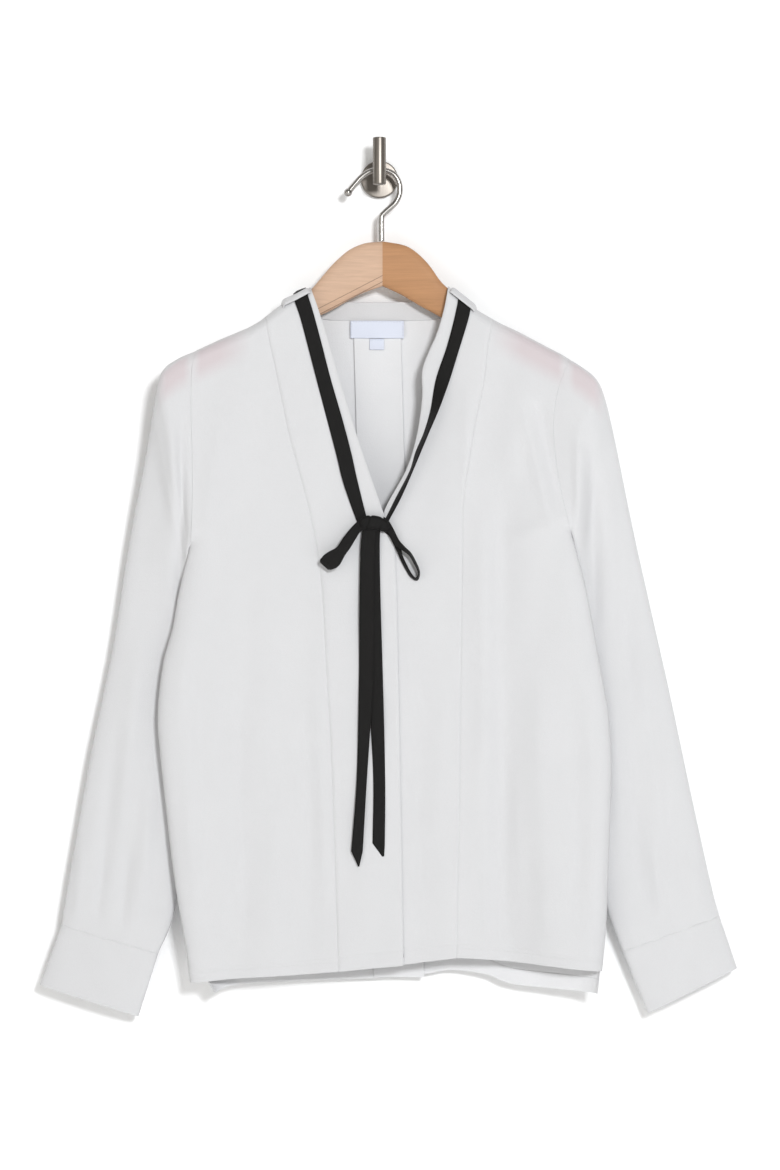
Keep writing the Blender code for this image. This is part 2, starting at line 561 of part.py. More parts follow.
def tie_neck(finish):
    outer_x, outer_z, inner_x, inner_z, face, stand = by_row(RIBBON_PATH, 2).T
    face = np.round(face, 3)
    off = RIBBON_OFF + RIBBON_OVER_SHOULDER * (1 - np.abs(np.clip(face, -1, 1)))
    columns = []
    for t in (0, 0.5, 1):
        x, z = outer_x + (inner_x - outer_x) * t, outer_z + (inner_z - outer_z) * t
        point = lay(x, z, face, off)
        point[:, 1] -= stand * (1 - t)
        columns.append(point)
    return cloth("tie_neck", np.array(columns), finish, RIBBON)


def bow_loop(name, table, finish):
    """A strip that leaves the knot in front, turns over at its end and comes back behind itself."""
    rows = by_row(table, 2)
    edge_a, edge_b, out = rows[:, 0:2], rows[:, 2:4], rows[:, 4]
    end = rows[-1]
    along = (end[0:2] + end[2:4] - rows[-2, 0:2] - rows[-2, 2:4]) / 2
    along /= np.linalg.norm(along)
    columns = []
    for edge in (edge_a, edge_b):
        behind = front_y(edge[:, 0], edge[:, 1]) - LOOP_BEHIND
        front = np.column_stack([edge[:, 0], behind - 2 * out, edge[:, 1]])
        back = np.column_stack([edge[:, 0], behind, edge[:, 1]])
        turn = []
        for angle in np.radians([45, 90, 135]):
            xz = edge[-1] + along * out[-1] * LOOP_END * math.sin(angle)
            turn.append((xz[0], behind[-1] - out[-1] * (1 + math.cos(angle)), xz[1]))
        columns.append(np.vstack([front, turn, back[::-1]]))
    points = np.array([columns[0] + (columns[1] - columns[0]) * t for t in (0, 0.5, 1)])
    return cloth(name, points, finish, RIBBON)


def tail(name, table, finish):
    left_x, left_z, right_x, right_z, lift = by_row(table, 3).T
    columns = []
    for t in (0, 0.5, 1):
        x, z = left_x + (right_x - left_x) * t, left_z + (right_z - left_z) * t
        columns.append(np.stack([x, front_y(x, z) - TAIL_OFF - lift, z], 1))
    return cloth(name, np.array(columns), finish, RIBBON)


def knot(finish):
    """The bow's knot: a small block with soft corners."""
    shape = bmesh.new()
    bmesh.ops.create_cube(shape, size=1)
    bmesh.ops.scale(shape, vec=KNOT_SIZE, verts=shape.verts)
    bmesh.ops.translate(shape, vec=KNOT_CENTRE, verts=shape.verts)
    mesh = bpy.data.meshes.new("tie_knot")
    shape.to_mesh(mesh)
    shape.free()
    made = add_object("tie_knot", mesh, finish)
    edges = made.modifiers.new("soft corners", "BEVEL")
    edges.width = KNOT_ROUND
    edges.segments = 3
    return made


def carrier(name, feet, finish):
    """A narrow strip that arches over the ribbon, its feet on the band at each side of it."""
    first, last = np.array(feet[:2]), np.array(feet[2:])
    t = np.linspace(0, 1, 9)
    arch = np.minimum(1, CARRIER_STEEP * np.minimum(t, 1 - t))
    off = CARRIER_FOOT + (CARRIER_OVER - CARRIER_FOOT) * arch
    along = last - first
    across = np.array([along[1], -along[0]]) / np.linalg.norm(along)
    columns = []
    for side in (-0.5, 0, 0.5):
        xz = first + along * t[:, None] + across * side * CARRIER_WIDTH
        columns.append(lay(xz[:, 0], xz[:, 1], np.full(len(t), -1), off))
    return cloth(name, np.array(columns), finish, RIBBON)


def flat_label(name, size, off, finish):
    """A small woven piece in front of the pleat, on the back's inner side."""
    left, right, top, bottom = size
    x, z = np.meshgrid(np.linspace(left, right, 5), np.linspace(top, bottom, 3), indexing="ij")
    y = back_y(x, z) - 2 * LAYER - off
    return cloth(name, np.stack([x, y, z], -1), finish, RIBBON)


def hanger_arm(name, table, sign, finish):
    """Rounded sections from the middle joint to the arm's tip, closed at both ends."""
    angle = 2 * math.pi * (np.arange(WOOD_SIDES) + 0.5) / WOOD_SIDES
    round_y = np.sign(np.cos(angle)) * np.abs(np.cos(angle)) ** WOOD_SQUARE
    round_z = np.sign(np.sin(angle)) * np.abs(np.sin(angle)) ** WOOD_SQUARE
    shape = bmesh.new()
    rings = []
    for x, top, bottom in table:
        top = float(shoulder_z(x)) - WOOD_UNDER_CLOTH if top is None else top
        thin = 1 - WOOD_TIP_THINNING * (abs(x) / abs(table[-1][0])) ** 6
        half_y, half_z = WOOD_THICKNESS / 2 * thin, (top - bottom) / 2
        rings.append([shape.verts.new((x, hanger_y(x) + half_y * a, (top + bottom) / 2 + half_z * b))
                      for a, b in zip(round_y, round_z)])
    for near, far in zip(rings[:-1], rings[1:]):
        for k, after in enumerate(np.roll(range(WOOD_SIDES), -1)):
            shape.faces.new((near[k], near[after], far[after], far[k]))
    shape.faces.new(rings[0])
    shape.faces.new(rings[-1])
    bmesh.ops.recalc_face_normals(shape, faces=shape.faces)
    mesh = bpy.data.meshes.new(name)
    shape.to_mesh(mesh)
    shape.free()
    mesh.set_sharp_from_angle(angle=math.radians(50))
    return add_object(name, mesh, finish)


def hanger_hook(finish):
    """Bent wire with a ball at its tip, on the hanger's plane."""
    path = smooth(HOOK_PATH, 40)
    end = path[-1] - path[-2]
    end /= np.linalg.norm(end)
    ball = [(path[-1] + end * d, r) for d, r in HOOK_BALL]
    curve = bpy.data.curves.new("hanger_hook", "CURVE")
    curve.dimensions = "3D"
    curve.bevel_depth = WIRE_RADIUS
    curve.bevel_resolution = 2
    curve.use_fill_caps = True
    line = curve.splines.new("POLY")
    line.points.add(len(path) + len(ball) - 1)
    for point, (xz, radius) in zip(line.points, [(p, 1.0) for p in path] + ball):
        point.co = (xz[0], HANGER_Y, xz[1], 1)
        point.radius = radius
    return add_object("hanger_hook", curve, finish)


def turned(name, profile, finish):
    """A turned piece about +Y: radius and y for each point of its profile."""
    mesh = bpy.data.meshes.new(name)
    mesh.from_pydata([(radius, y, 0) for radius, y in profile], [(k, k + 1) for k in range(len(profile) - 1)], [])
    made = add_object(name, mesh, finish)
    spin = made.modifiers.new("turn", "SCREW")
    spin.axis = "Y"
    spin.steps = spin.render_steps = PLATE_SIDES
    spin.use_merge_vertices = True
    spin.merge_threshold = 0.00001
    spin.use_normal_calculate = True
    return made


def wall_plate(finish):
    radius, front, edge = PLATE_RADIUS, -PLATE_THICKNESS, PLATE_EDGE
    profile = [(0, 0), (radius, 0), (radius, front + 2 * edge), (radius - edge / 2, front + edge / 2),
               (radius - 2 * edge, front), (0, front)]
    return turned("wall_plate", profile, finish)


def round_bar(name, radius, start, end, finish):
    start, end = np.array(start), np.array(end)
    bpy.ops.mesh.primitive_cylinder_add(vertices=PEG_SIDES, radius=radius, depth=float(np.linalg.norm(end - start)))
    made = bpy.context.object
    made.name = made.data.name = name
    made.location = (start + end) / 2
    if abs(end[1] - start[1]) > 0:
        made.rotation_euler = (math.radians(90), 0, 0)
    made.data.materials.append(finish)
    for holder in list(made.users_collection):
        holder.objects.unlink(made)
    bpy.data.collections[COLLECTION_NAME].objects.link(made)
    return made


def wall_peg(finish):
    """The upright peg with the short post that carries it, joined in one piece."""
    peg = round_bar("wall_peg", PEG_RADIUS, (0, PEG_Y, PEG_BOTTOM_Z), (0, PEG_Y, PEG_TOP_Z), finish)
    post = round_bar("post_guide", POST_RADIUS, (0, -PLATE_THICKNESS - GAP, 0), (0, PEG_Y, 0), finish)
    post.hide_render = True
    post.display_type = "WIRE"
    edges = peg.modifiers.new("edges", "BEVEL")
    edges.width = PEG_EDGE
    edges.segments = 2
    edges.limit_method = "ANGLE"
    join = peg.modifiers.new("post", "BOOLEAN")
    join.operation = "UNION"
    join.object = post
    return peg


def main():
    for old in list(bpy.data.objects):
        bpy.data.objects.remove(old)
    collection = bpy.data.collections.new(COLLECTION_NAME)
    bpy.context.scene.collection.children.link(collection)
    crepe = material("white_crepe", (0.83, 0.84, 0.86), 0.85)
    black = material("black_ribbon", (0.015, 0.014, 0.014), 0.55)
    woven = material("pale_label", (0.80, 0.84, 0.90), 0.7)
    wood = material("pale_wood", (0.72, 0.52, 0.36), 0.55)
    wire = material("polished_wire", (0.75, 0.75, 0.76), 0.15, 1.0)
    nickel = material("brushed_nickel", (0.55, 0.54, 0.52), 0.35, 1.0)

    front_panel("right_front", RIGHT_ARMHOLE, RIGHT_SIDE, RIGHT_BAND_SEAM, RIGHT_HEM, -1, crepe)
    front_panel("left_front", LEFT_ARMHOLE, LEFT_SIDE, LEFT_BAND_SEAM, LEFT_HEM, 1, crepe)
    band_panel("right_band", RIGHT_BAND_EDGE, RIGHT_BAND_SEAM, [RIGHT_BAND_EDGE[-1], RIGHT_BAND_SEAM[-1]],
               -1, LAP_LIFT, crepe)
    band_panel("left_band", LEFT_BAND_EDGE, LEFT_BAND_SEAM, [LEFT_BAND_EDGE[-1], LEFT_BAND_SEAM[-1]],
               1, 0.0, crepe)
    neck_band(crepe)
    back_panel(crepe)
    sleeve("right_sleeve", RIGHT_SLEEVE, RIGHT_ARMHOLE, -1, crepe)
    sleeve("left_sleeve", LEFT_SLEEVE, LEFT_ARMHOLE, 1, crepe)
    cuff("right_cuff", RIGHT_SLEEVE[-1], RIGHT_CUFF_END, -1, crepe)
    cuff("left_cuff", LEFT_SLEEVE[-1], LEFT_CUFF_END, 1, crepe)
    tie_neck(black)
    knot(black)
    bow_loop("tie_loop_right", RIGHT_LOOP, black)
    bow_loop("tie_loop_left", LEFT_LOOP, black)
    tail("tie_tail_right", RIGHT_TAIL, black)
    tail("tie_tail_left", LEFT_TAIL, black)
    carrier("carrier_right", RIGHT_CARRIER, crepe)
    carrier("carrier_left", LEFT_CARRIER, crepe)
    flat_label("label", LABEL, LAYER, woven)
    flat_label("size_tag", SIZE_TAG, LAYER, woven)
    hanger_arm("hanger_arm_right", RIGHT_ARM, -1, wood)
    hanger_arm("hanger_arm_left", LEFT_ARM, 1, wood)
    hanger_hook(wire)
    wall_plate(nickel)
    wall_peg(nickel)


main()
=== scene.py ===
"""Tie neck blouse on a wooden hanger, hung on a wall hook.

Laid out as an add-on: sizes and colours are properties, each piece or group of like pieces is an operator,
and main() calls them in order. Every cloth piece is a grid of points worked out with numpy: the front and the
back are depths y = f(x, z) in the wall's frame, and panels fill the space between their four seams.
Metres, +Z up, the wall at y = 0. Right and left are the wearer's.
"""

import math

import bmesh
import bpy
import numpy as np
from bpy.props import FloatProperty, FloatVectorProperty, IntProperty, PointerProperty
from bpy.types import Operator, Panel, PropertyGroup
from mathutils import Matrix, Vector


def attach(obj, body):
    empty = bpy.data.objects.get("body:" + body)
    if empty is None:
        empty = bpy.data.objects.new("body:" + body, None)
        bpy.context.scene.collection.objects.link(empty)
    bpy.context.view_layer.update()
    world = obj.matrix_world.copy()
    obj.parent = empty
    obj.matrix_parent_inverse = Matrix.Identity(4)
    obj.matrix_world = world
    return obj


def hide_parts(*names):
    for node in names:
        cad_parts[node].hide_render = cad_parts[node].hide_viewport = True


bl_info = {
    "name": "Tie Neck Blouse",
    "version": (1, 0, 0),
    "blender": (4, 5, 0),
    "location": "View3D > Sidebar > Blouse",
    "description": "Builds a crepe blouse with a ribbon bow on its hanger and wall hook",
    "category": "Object",
}

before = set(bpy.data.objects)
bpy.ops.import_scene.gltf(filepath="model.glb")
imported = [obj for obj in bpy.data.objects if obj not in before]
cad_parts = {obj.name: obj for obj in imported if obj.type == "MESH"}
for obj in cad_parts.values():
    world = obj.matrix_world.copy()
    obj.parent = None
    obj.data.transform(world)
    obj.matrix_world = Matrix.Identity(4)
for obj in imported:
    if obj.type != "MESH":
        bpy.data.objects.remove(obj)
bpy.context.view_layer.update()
BODY = "root"


def colour(name, words, value):
    """A colour property with its name and description."""
    return FloatVectorProperty(name=name, description=words, default=value,
                               subtype="COLOR", size=3, min=0, max=1)


def length(name, words, value):
    """A length property in metres."""
    return FloatProperty(name=name, description=words, unit="LENGTH", precision=5, default=value)


class BlouseSizes(PropertyGroup):
    """Sizes that a user would change."""

    cloth: length("Crepe", "Thickness of the blouse's cloth", 0.0009)
    ribbon: length("Ribbon", "Thickness of the ribbon", 0.0008)
    stitch: length("Stitch", "Length of one topstitch", 0.0019)
    stitch_pitch: length("Stitch pitch", "Distance from one topstitch to the next", 0.0028)
    hem: length("Hem", "Depth of the turned hem", 0.009)
    fold_share: FloatProperty(name="Folds", description="How strongly creases show", min=0, max=2, default=1)
    fineness: IntProperty(name="Fineness", description="Grid steps per table row", min=1, max=12, default=6)


class BlouseColours(PropertyGroup):
    """Colours of the cloth, the ribbon, the label, the hanger and the hooks."""

    crepe: colour("Crepe", "The blouse's cloth", (0.665, 0.664, 0.672))
    crepe_low: colour("Crepe in its grain", "The cloth between the threads", (0.600, 0.600, 0.610))
    over_wood: colour("Crepe over wood", "The cloth where the hanger shows through", (0.590, 0.530, 0.545))
    ribbon: colour("Ribbon", "The tie", (0.0042, 0.0038, 0.0036))
    label: colour("Label", "The woven labels", (0.56, 0.59, 0.68))
    # Both arms are one wood. The right arm's colour is the wood as lit. The left arm's darker colour is
    # painted shade, because the left arm faces away from the key light.
    wood_lit: colour("Lit wood", "The right arm of the hanger", (0.590, 0.395, 0.275))
    wood_shaded: colour("Shaded wood", "The left arm of the hanger", (0.475, 0.247, 0.119))
    wire: colour("Wire", "The hanger's hook", (0.40, 0.38, 0.36))
    nickel: colour("Nickel", "The wall hook", (0.255, 0.230, 0.205))
    wall: colour("Wall", "The backdrop", (0.95, 0.95, 0.95))


def sizes():
    """The sizes as they are set in the scene."""
    return bpy.context.scene.blouse_sizes


def colours():
    """The colours as they are set in the scene."""
    return bpy.context.scene.blouse_colours


# One layer of the pleat, how much thicker doubled cloth is, and how much more the wide faces of a sheet count
# than its narrow rim where the shading of an edge is worked out.
LAYER = 0.0012
DOUBLED = 1.15
EDGE_WEIGHT = 95

# Hanger: the depth of its arms at the middle and how far they sweep forward, their thickness, how square they
# are, how much thinner they end, how far they lie under the cloth, where they join, and the wire's sizes.
HANGER_Y = -0.024
HANGER_SWEEP = 0.12
WOOD_THICKNESS = 0.0115
WOOD_SQUARE = 0.70
WOOD_TIP_THINNING = 0.3
WOOD_UNDER_CLOTH = 0.0014
JOINT_X = 0.003
WIRE_RADIUS = 0.0028
HOOK_BALL_SHARE = 1.42
# Two dark lines of painted shade on the front of the right arm, along its lower bevel where it turns from the
# light: their slope, the height of each at x = 0, and their width.
BEVEL_SHADE_SLOPE = 0.527
BEVEL_SHADE_STARTS = (-0.0968, -0.1026)
BEVEL_SHADE_WIDTH = 0.0007

# Wall hook. The post flares where it meets the base: share of its radius, distance in front of the base.
PLATE_RADIUS = 0.018
PLATE_THICKNESS = 0.006
PLATE_EDGE = 0.0014
POST_RADIUS = 0.0039
POST_FLARE = ((1.0, 0.0012), (1.25, 0.0004), (1.6, -0.0002))
PEG_RADIUS = 0.0063
PEG_EDGE = 0.0009
PEG_Y = -0.0385
PEG_TOP_Z = 0.036
PEG_BOTTOM_Z = -0.009

# Blouse in depth: front and back at the middle, how far each comes forward at the side, the side seam, the
# half width, how far the turns over the shoulder and at the side reach in, and the clearances at the seams.
FRONT_Y = -0.046
FRONT_CURVE = 0.014
BACK_Y = -0.012
BACK_CURVE = 0.024
SIDE_Y = -0.048
HALF_WIDTH = 0.200
SHOULDER_ROUND = 0.011
SIDE_ROUND = 0.024
SEAM_Y = 0.0001
ON_SEAM = 0.0002
# Where the soft folds are deepest, and the points along a smoothed seam.
FOLD_END_Z = -0.760
FINE = 400
# The right band's lift over the left one and how it falls off, how far a doubled band stands off the front,
# the gap in the pleat, the drop of the neck's ends, and a hem's doubled strip as shares of a panel's length.
LAP_LIFT = 0.0026
LIFT_FALL = 0.8
BAND_STAND = 0.0007
PLEAT_PARTING = 0.0003
NECK_DROP = 0.0015
HEM_ROWS = np.concatenate([np.linspace(0.975, 0.984, 4), [0.9846, 0.9852, 0.986], np.linspace(0.988, 1, 5)])
HEM_STEP_AT = (0.9846, 0.9854)
HEM_STEP = 0.0002
# Sleeves: how full a section is, how full near the shoulder and for how many steps, how far the first ring
# lies beside and under the armhole, how many steps hold on to it, and where the gathers begin, over how many
# steps they rise and how deep they are. Two steps here are one row of the sleeve tables.
SLEEVE_FULL = 0.42
SHOULDER_FULL = 0.32
SHOULDER_STEPS = 7
SLEEVE_SEAM = -0.0006
SLEEVE_UNDER = 0.0005
ARMHOLE_HOLD = 6
GATHERS_FROM = 16.5
GATHERS_RISE = 3.5
GATHER = 0.0003

# Ribbon: how far it lies off the cloth, how much more on the right band, how far the folded loop's back and
# the tails lie off the front, and how far the folded loop's end rounds out.
RIBBON_OFF = 0.0021
RIBBON_ON_LAP = 0.0020
LOOP_BEHIND = 0.0052
LOOP_END = 0.4
TAIL_OFF = 0.0034
# Carriers: how far off the cloth at their feet and over the ribbon, and how steeply they rise.
CARRIER_FOOT = 0.0010
CARRIER_OVER = 0.0046
CARRIER_STEEP = 8

# Where the hanger shows through the crepe: how deep below the shoulder line, from where to where along it on
# the right and on the left, and the sleeve seam that hides it. Then how uneven the cloth is.
SHOWN_DEPTH = 0.034
SHOWN_FROM = (0.122, 0.106)
SHOWN_TO = (0.212, 0.214)
SHOWN_SEAM = 0.178
RIPPLE = 0.00045

# A topstitch: half its width, half its height, and how far its middle lies off the cloth's surface.
THREAD_WIDE = 0.00020
THREAD_HIGH = 0.00012
THREAD_OFF = 0.00003
# Which way is out on the front's side and on the back's.
FRONT_OUT = (0, -1, 0)
BACK_OUT = (0, 1, 0)

# Shoulder line over the hanger: x, z.
SHOULDER = [
    (-0.212, -0.206), (-0.206, -0.189), (-0.191, -0.177), (-0.171, -0.167), (-0.152, -0.158),
    (-0.124, -0.146), (-0.114, -0.140), (-0.095, -0.125), (-0.079, -0.113), (-0.067, -0.108),
    (-0.056, -0.098), (-0.040, -0.086), (0.000, -0.070), (0.040, -0.086), (0.056, -0.098),
    (0.067, -0.107), (0.089, -0.126), (0.096, -0.131), (0.115, -0.142), (0.134, -0.151),
    (0.154, -0.162), (0.173, -0.172), (0.192, -0.184), (0.204, -0.194), (0.214, -0.207),
]

# Seams and edges in the front view, from top to bottom: x, z. Right and left are the wearer's.
RIGHT_ARMHOLE = [
    (-0.174, -0.169), (-0.178, -0.184), (-0.179, -0.205), (-0.179, -0.235), (-0.178, -0.270),
    (-0.178, -0.311), (-0.180, -0.354),
]
RIGHT_SIDE = [
    (-0.180, -0.354), (-0.188, -0.387), (-0.192, -0.406), (-0.197, -0.435), (-0.204, -0.458),
    (-0.209, -0.490), (-0.211, -0.521), (-0.209, -0.550), (-0.204, -0.597), (-0.195, -0.673),
    (-0.184, -0.740), (-0.180, -0.771),
]
LEFT_ARMHOLE = [
    (0.181, -0.177), (0.174, -0.194), (0.169, -0.210), (0.166, -0.235), (0.167, -0.262),
    (0.172, -0.297), (0.182, -0.340),
]
LEFT_SIDE = [
    (0.182, -0.340), (0.188, -0.362), (0.197, -0.397), (0.205, -0.440), (0.213, -0.484),
    (0.218, -0.516), (0.221, -0.559), (0.220, -0.607), (0.218, -0.664), (0.216, -0.716),
    (0.212, -0.760),
]
RIGHT_BAND_SEAM = [
    (-0.109, -0.137), (-0.104, -0.164), (-0.099, -0.186), (-0.094, -0.211), (-0.086, -0.249),
    (-0.075, -0.290), (-0.066, -0.325), (-0.056, -0.382), (-0.050, -0.481), (-0.045, -0.575),
    (-0.039, -0.761),
]
RIGHT_BAND_EDGE = [
    (-0.066, -0.109), (-0.056, -0.138), (-0.037, -0.201), (-0.018, -0.262), (0.004, -0.325),
    (0.014, -0.356), (0.018, -0.480), (0.023, -0.755),
]
LEFT_BAND_SEAM = [
    (0.109, -0.139), (0.104, -0.161), (0.100, -0.197), (0.092, -0.236), (0.085, -0.279),
    (0.080, -0.313), (0.079, -0.368), (0.077, -0.533), (0.074, -0.748),
]
LEFT_BAND_EDGE = [
    (0.066, -0.108), (0.062, -0.130), (0.055, -0.154), (0.047, -0.172), (0.041, -0.190),
    (0.041, -0.215), (0.036, -0.250), (0.026, -0.283), (0.004, -0.325), (0.003, -0.356),
    (0.006, -0.480), (0.010, -0.756),
]
RIGHT_HEM = [(-0.039, -0.761), (-0.075, -0.764), (-0.132, -0.767), (-0.180, -0.771)]
LEFT_HEM = [(0.074, -0.748), (0.096, -0.749), (0.143, -0.753), (0.212, -0.760)]
NECK_SEAM = [
    (-0.0917, -0.1235), (-0.076, -0.129), (-0.060, -0.1345), (-0.045, -0.137), (0.000, -0.1375),
    (0.045, -0.137), (0.060, -0.1345), (0.076, -0.130), (0.0929, -0.1285),
]
NECK_EDGE = [
    (-0.067, -0.108), (-0.060, -0.113), (-0.048, -0.117), (-0.030, -0.119), (0.030, -0.119),
    (0.048, -0.117), (0.060, -0.113), (0.067, -0.107),
]
BACK_RIGHT_SIDE = RIGHT_SIDE[:-3] + [(-0.192, -0.690), (-0.170, -0.755), (-0.157, -0.781)]
BACK_LEFT_SIDE = LEFT_SIDE[:-2] + [(0.214, -0.725), (0.208, -0.782)]
BACK_HEM = [
    (-0.157, -0.781), (-0.123, -0.775), (0.001, -0.771), (0.043, -0.767), (0.068, -0.763),
    (0.102, -0.767), (0.130, -0.776), (0.208, -0.782),
]

# Centre back inverted pleat: z, its middle x, half its width.
PLEAT = [(-0.137, -0.0025, 0.0225), (-0.261, 0.001, 0.0225), (-0.770, 0.019, 0.024)]

# Sleeve sections: outer x, outer z, inner x, inner z, outer y, inner y, half depth.
RIGHT_SLEEVE = [
    (-0.1740, -0.169, -0.1800, -0.353, -0.048, -0.048, 0.012),
    (-0.1920, -0.177, -0.1815, -0.357, -0.048, -0.043, 0.015),
    (-0.2070, -0.190, -0.1830, -0.368, -0.048, -0.037, 0.017),
    (-0.2140, -0.217, -0.1850, -0.388, -0.043, -0.030, 0.016),
    (-0.2220, -0.262, -0.1855, -0.420, -0.034, -0.024, 0.014),
    (-0.2400, -0.354, -0.1850, -0.470, -0.025, -0.021, 0.013),
    (-0.2560, -0.454, -0.1865, -0.535, -0.022, -0.021, 0.013),
    (-0.2760, -0.550, -0.1880, -0.600, -0.022, -0.022, 0.014),
    (-0.2930, -0.646, -0.1910, -0.660, -0.022, -0.022, 0.013),
    (-0.3020, -0.698, -0.1990, -0.712, -0.022, -0.022, 0.012),
    (-0.3050, -0.719, -0.2130, -0.746, -0.022, -0.022, 0.010),
]
LEFT_SLEEVE = [
    (0.1810, -0.177, 0.1820, -0.339, -0.048, -0.048, 0.012),
    (0.1940, -0.1855, 0.1835, -0.343, -0.048, -0.043, 0.015),
    (0.2060, -0.196, 0.1855, -0.354, -0.048, -0.037, 0.017),
    (0.2140, -0.212, 0.1880, -0.372, -0.043, -0.030, 0.016),
    (0.2240, -0.250, 0.1895, -0.402, -0.034, -0.024, 0.014),
    (0.2420, -0.335, 0.1920, -0.456, -0.025, -0.021, 0.013),
    (0.2600, -0.415, 0.1950, -0.520, -0.022, -0.021, 0.013),
    (0.2780, -0.495, 0.1995, -0.584, -0.022, -0.022, 0.014),
    (0.2990, -0.594, 0.2060, -0.648, -0.022, -0.022, 0.013),
    (0.3180, -0.680, 0.2190, -0.704, -0.022, -0.022, 0.012),
    (0.3260, -0.710, 0.2340, -0.744, -0.022, -0.022, 0.010),
]
# Cuffs run from the last sleeve section to these: outer x, outer z, inner x, inner z.
RIGHT_CUFF_END = (-0.326, -0.776, -0.232, -0.806)
LEFT_CUFF_END = (0.343, -0.760, 0.258, -0.803)
CUFF_HALF_DEPTH = 0.010

# Soft folds in the front: x at the top, x at the hem, top z, half width, depth.
FRONT_FOLDS = [
    (0.122, 0.122, -0.450, 0.034, 0.006),
    (0.168, 0.176, -0.560, 0.024, -0.004),
    (-0.150, -0.138, -0.430, 0.026, 0.004),
    (-0.088, -0.070, -0.520, 0.018, 0.003),
]

# Creases in the front view: from x, z, to x, z, half width, depth (towards the viewer above 0).
FRONT_CREASES = [
    (0.150, -0.215, 0.176, -0.330, 0.009, -0.0035), (0.138, -0.225, 0.166, -0.345, 0.007, 0.0022),
    (0.120, -0.350, 0.176, -0.330, 0.010, 0.0018), (0.116, -0.270, 0.122, -0.750, 0.014, -0.0038),
    (0.100, -0.300, 0.101, -0.750, 0.010, 0.0026), (0.150, -0.440, 0.158, -0.750, 0.013, 0.0026),
    (0.186, -0.480, 0.190, -0.745, 0.010, -0.0020), (0.128, -0.500, 0.134, -0.750, 0.009, 0.0016),
    (0.084, -0.200, 0.082, -0.330, 0.006, 0.0012), (0.140, -0.190, 0.120, -0.300, 0.012, 0.0012),
    (-0.150, -0.220, -0.168, -0.360, 0.010, 0.0016), (-0.128, -0.260, -0.122, -0.600, 0.014, -0.0014),
    (-0.160, -0.420, -0.150, -0.740, 0.011, 0.0020), (-0.135, -0.480, -0.128, -0.760, 0.010, -0.0022),
    (-0.186, -0.450, -0.172, -0.740, 0.009, 0.0018), (-0.105, -0.520, -0.098, -0.762, 0.011, 0.0016),
    (-0.072, -0.480, -0.062, -0.760, 0.009, -0.0020), (-0.060, -0.440, -0.050, -0.700, 0.007, 0.0014),
    (-0.090, -0.330, -0.120, -0.470, 0.013, 0.0010), (0.060, -0.420, 0.056, -0.740, 0.010, 0.0010),
    (0.035, -0.400, 0.040, -0.740, 0.009, -0.0009), (-0.020, -0.420, -0.014, -0.740, 0.010, 0.0008),
]
BACK_CREASES = [
    (-0.140, -0.190, -0.120, -0.420, 0.014, -0.0022), (-0.165, -0.330, -0.150, -0.700, 0.012, 0.0024),
    (-0.110, -0.400, -0.104, -0.760, 0.014, 0.0030), (-0.072, -0.300, -0.066, -0.740, 0.012, -0.0022),
    (-0.040, -0.420, -0.034, -0.760, 0.010, 0.0016), (0.050, -0.400, 0.056, -0.755, 0.011, 0.0018),
    (0.082, -0.300, 0.088, -0.745, 0.013, -0.0026), (0.118, -0.380, 0.126, -0.765, 0.013, 0.0030),
    (0.150, -0.200, 0.128, -0.400, 0.013, -0.0020), (0.168, -0.360, 0.172, -0.760, 0.012, 0.0024),
    (0.020, -0.180, 0.016, -0.330, 0.008, 0.0010), (-0.030, -0.180, -0.036, -0.330, 0.009, 0.0010),
]
# Creases on the front half of each sleeve, and others on its back half.
RIGHT_SLEEVE_CREASES = [
    (-0.186, -0.215, -0.189, -0.420, 0.006, -0.0060), (-0.195, -0.230, -0.203, -0.440, 0.008, 0.0012),
    (-0.228, -0.300, -0.248, -0.480, 0.010, 0.0012), (-0.203, -0.420, -0.216, -0.640, 0.010, -0.0026),
    (-0.228, -0.440, -0.250, -0.660, 0.010, 0.0028), (-0.250, -0.520, -0.270, -0.700, 0.008, -0.0020),
    (-0.215, -0.560, -0.232, -0.725, 0.007, 0.0022), (-0.240, -0.640, -0.248, -0.728, 0.005, -0.0022),
    (-0.262, -0.640, -0.272, -0.722, 0.005, -0.0020), (-0.285, -0.640, -0.292, -0.716, 0.005, 0.0018),
]
LEFT_SLEEVE_CREASES = [
    (0.199, -0.235, 0.208, -0.440, 0.007, -0.0044), (0.187, -0.230, 0.192, -0.380, 0.006, 0.0026),
    (0.214, -0.260, 0.228, -0.420, 0.009, 0.0026), (0.222, -0.330, 0.250, -0.520, 0.010, -0.0026),
    (0.214, -0.440, 0.238, -0.640, 0.010, 0.0030), (0.244, -0.430, 0.276, -0.640, 0.010, 0.0026),
    (0.230, -0.520, 0.256, -0.715, 0.009, -0.0030), (0.270, -0.560, 0.292, -0.712, 0.008, -0.0022),
    (0.262, -0.640, 0.272, -0.722, 0.005, 0.0020), (0.300, -0.640, 0.310, -0.708, 0.005, 0.0018),
]
SLEEVE_BACK_CREASES = [
    (0.195, -0.240, 0.208, -0.420, 0.009, 0.0030), (0.215, -0.330, 0.240, -0.520, 0.010, -0.0028),
    (0.222, -0.460, 0.250, -0.660, 0.010, 0.0028), (0.252, -0.500, 0.280, -0.690, 0.009, -0.0024),
    (0.244, -0.620, 0.262, -0.725, 0.007, 0.0020), (0.285, -0.600, 0.302, -0.712, 0.007, 0.0018),
]

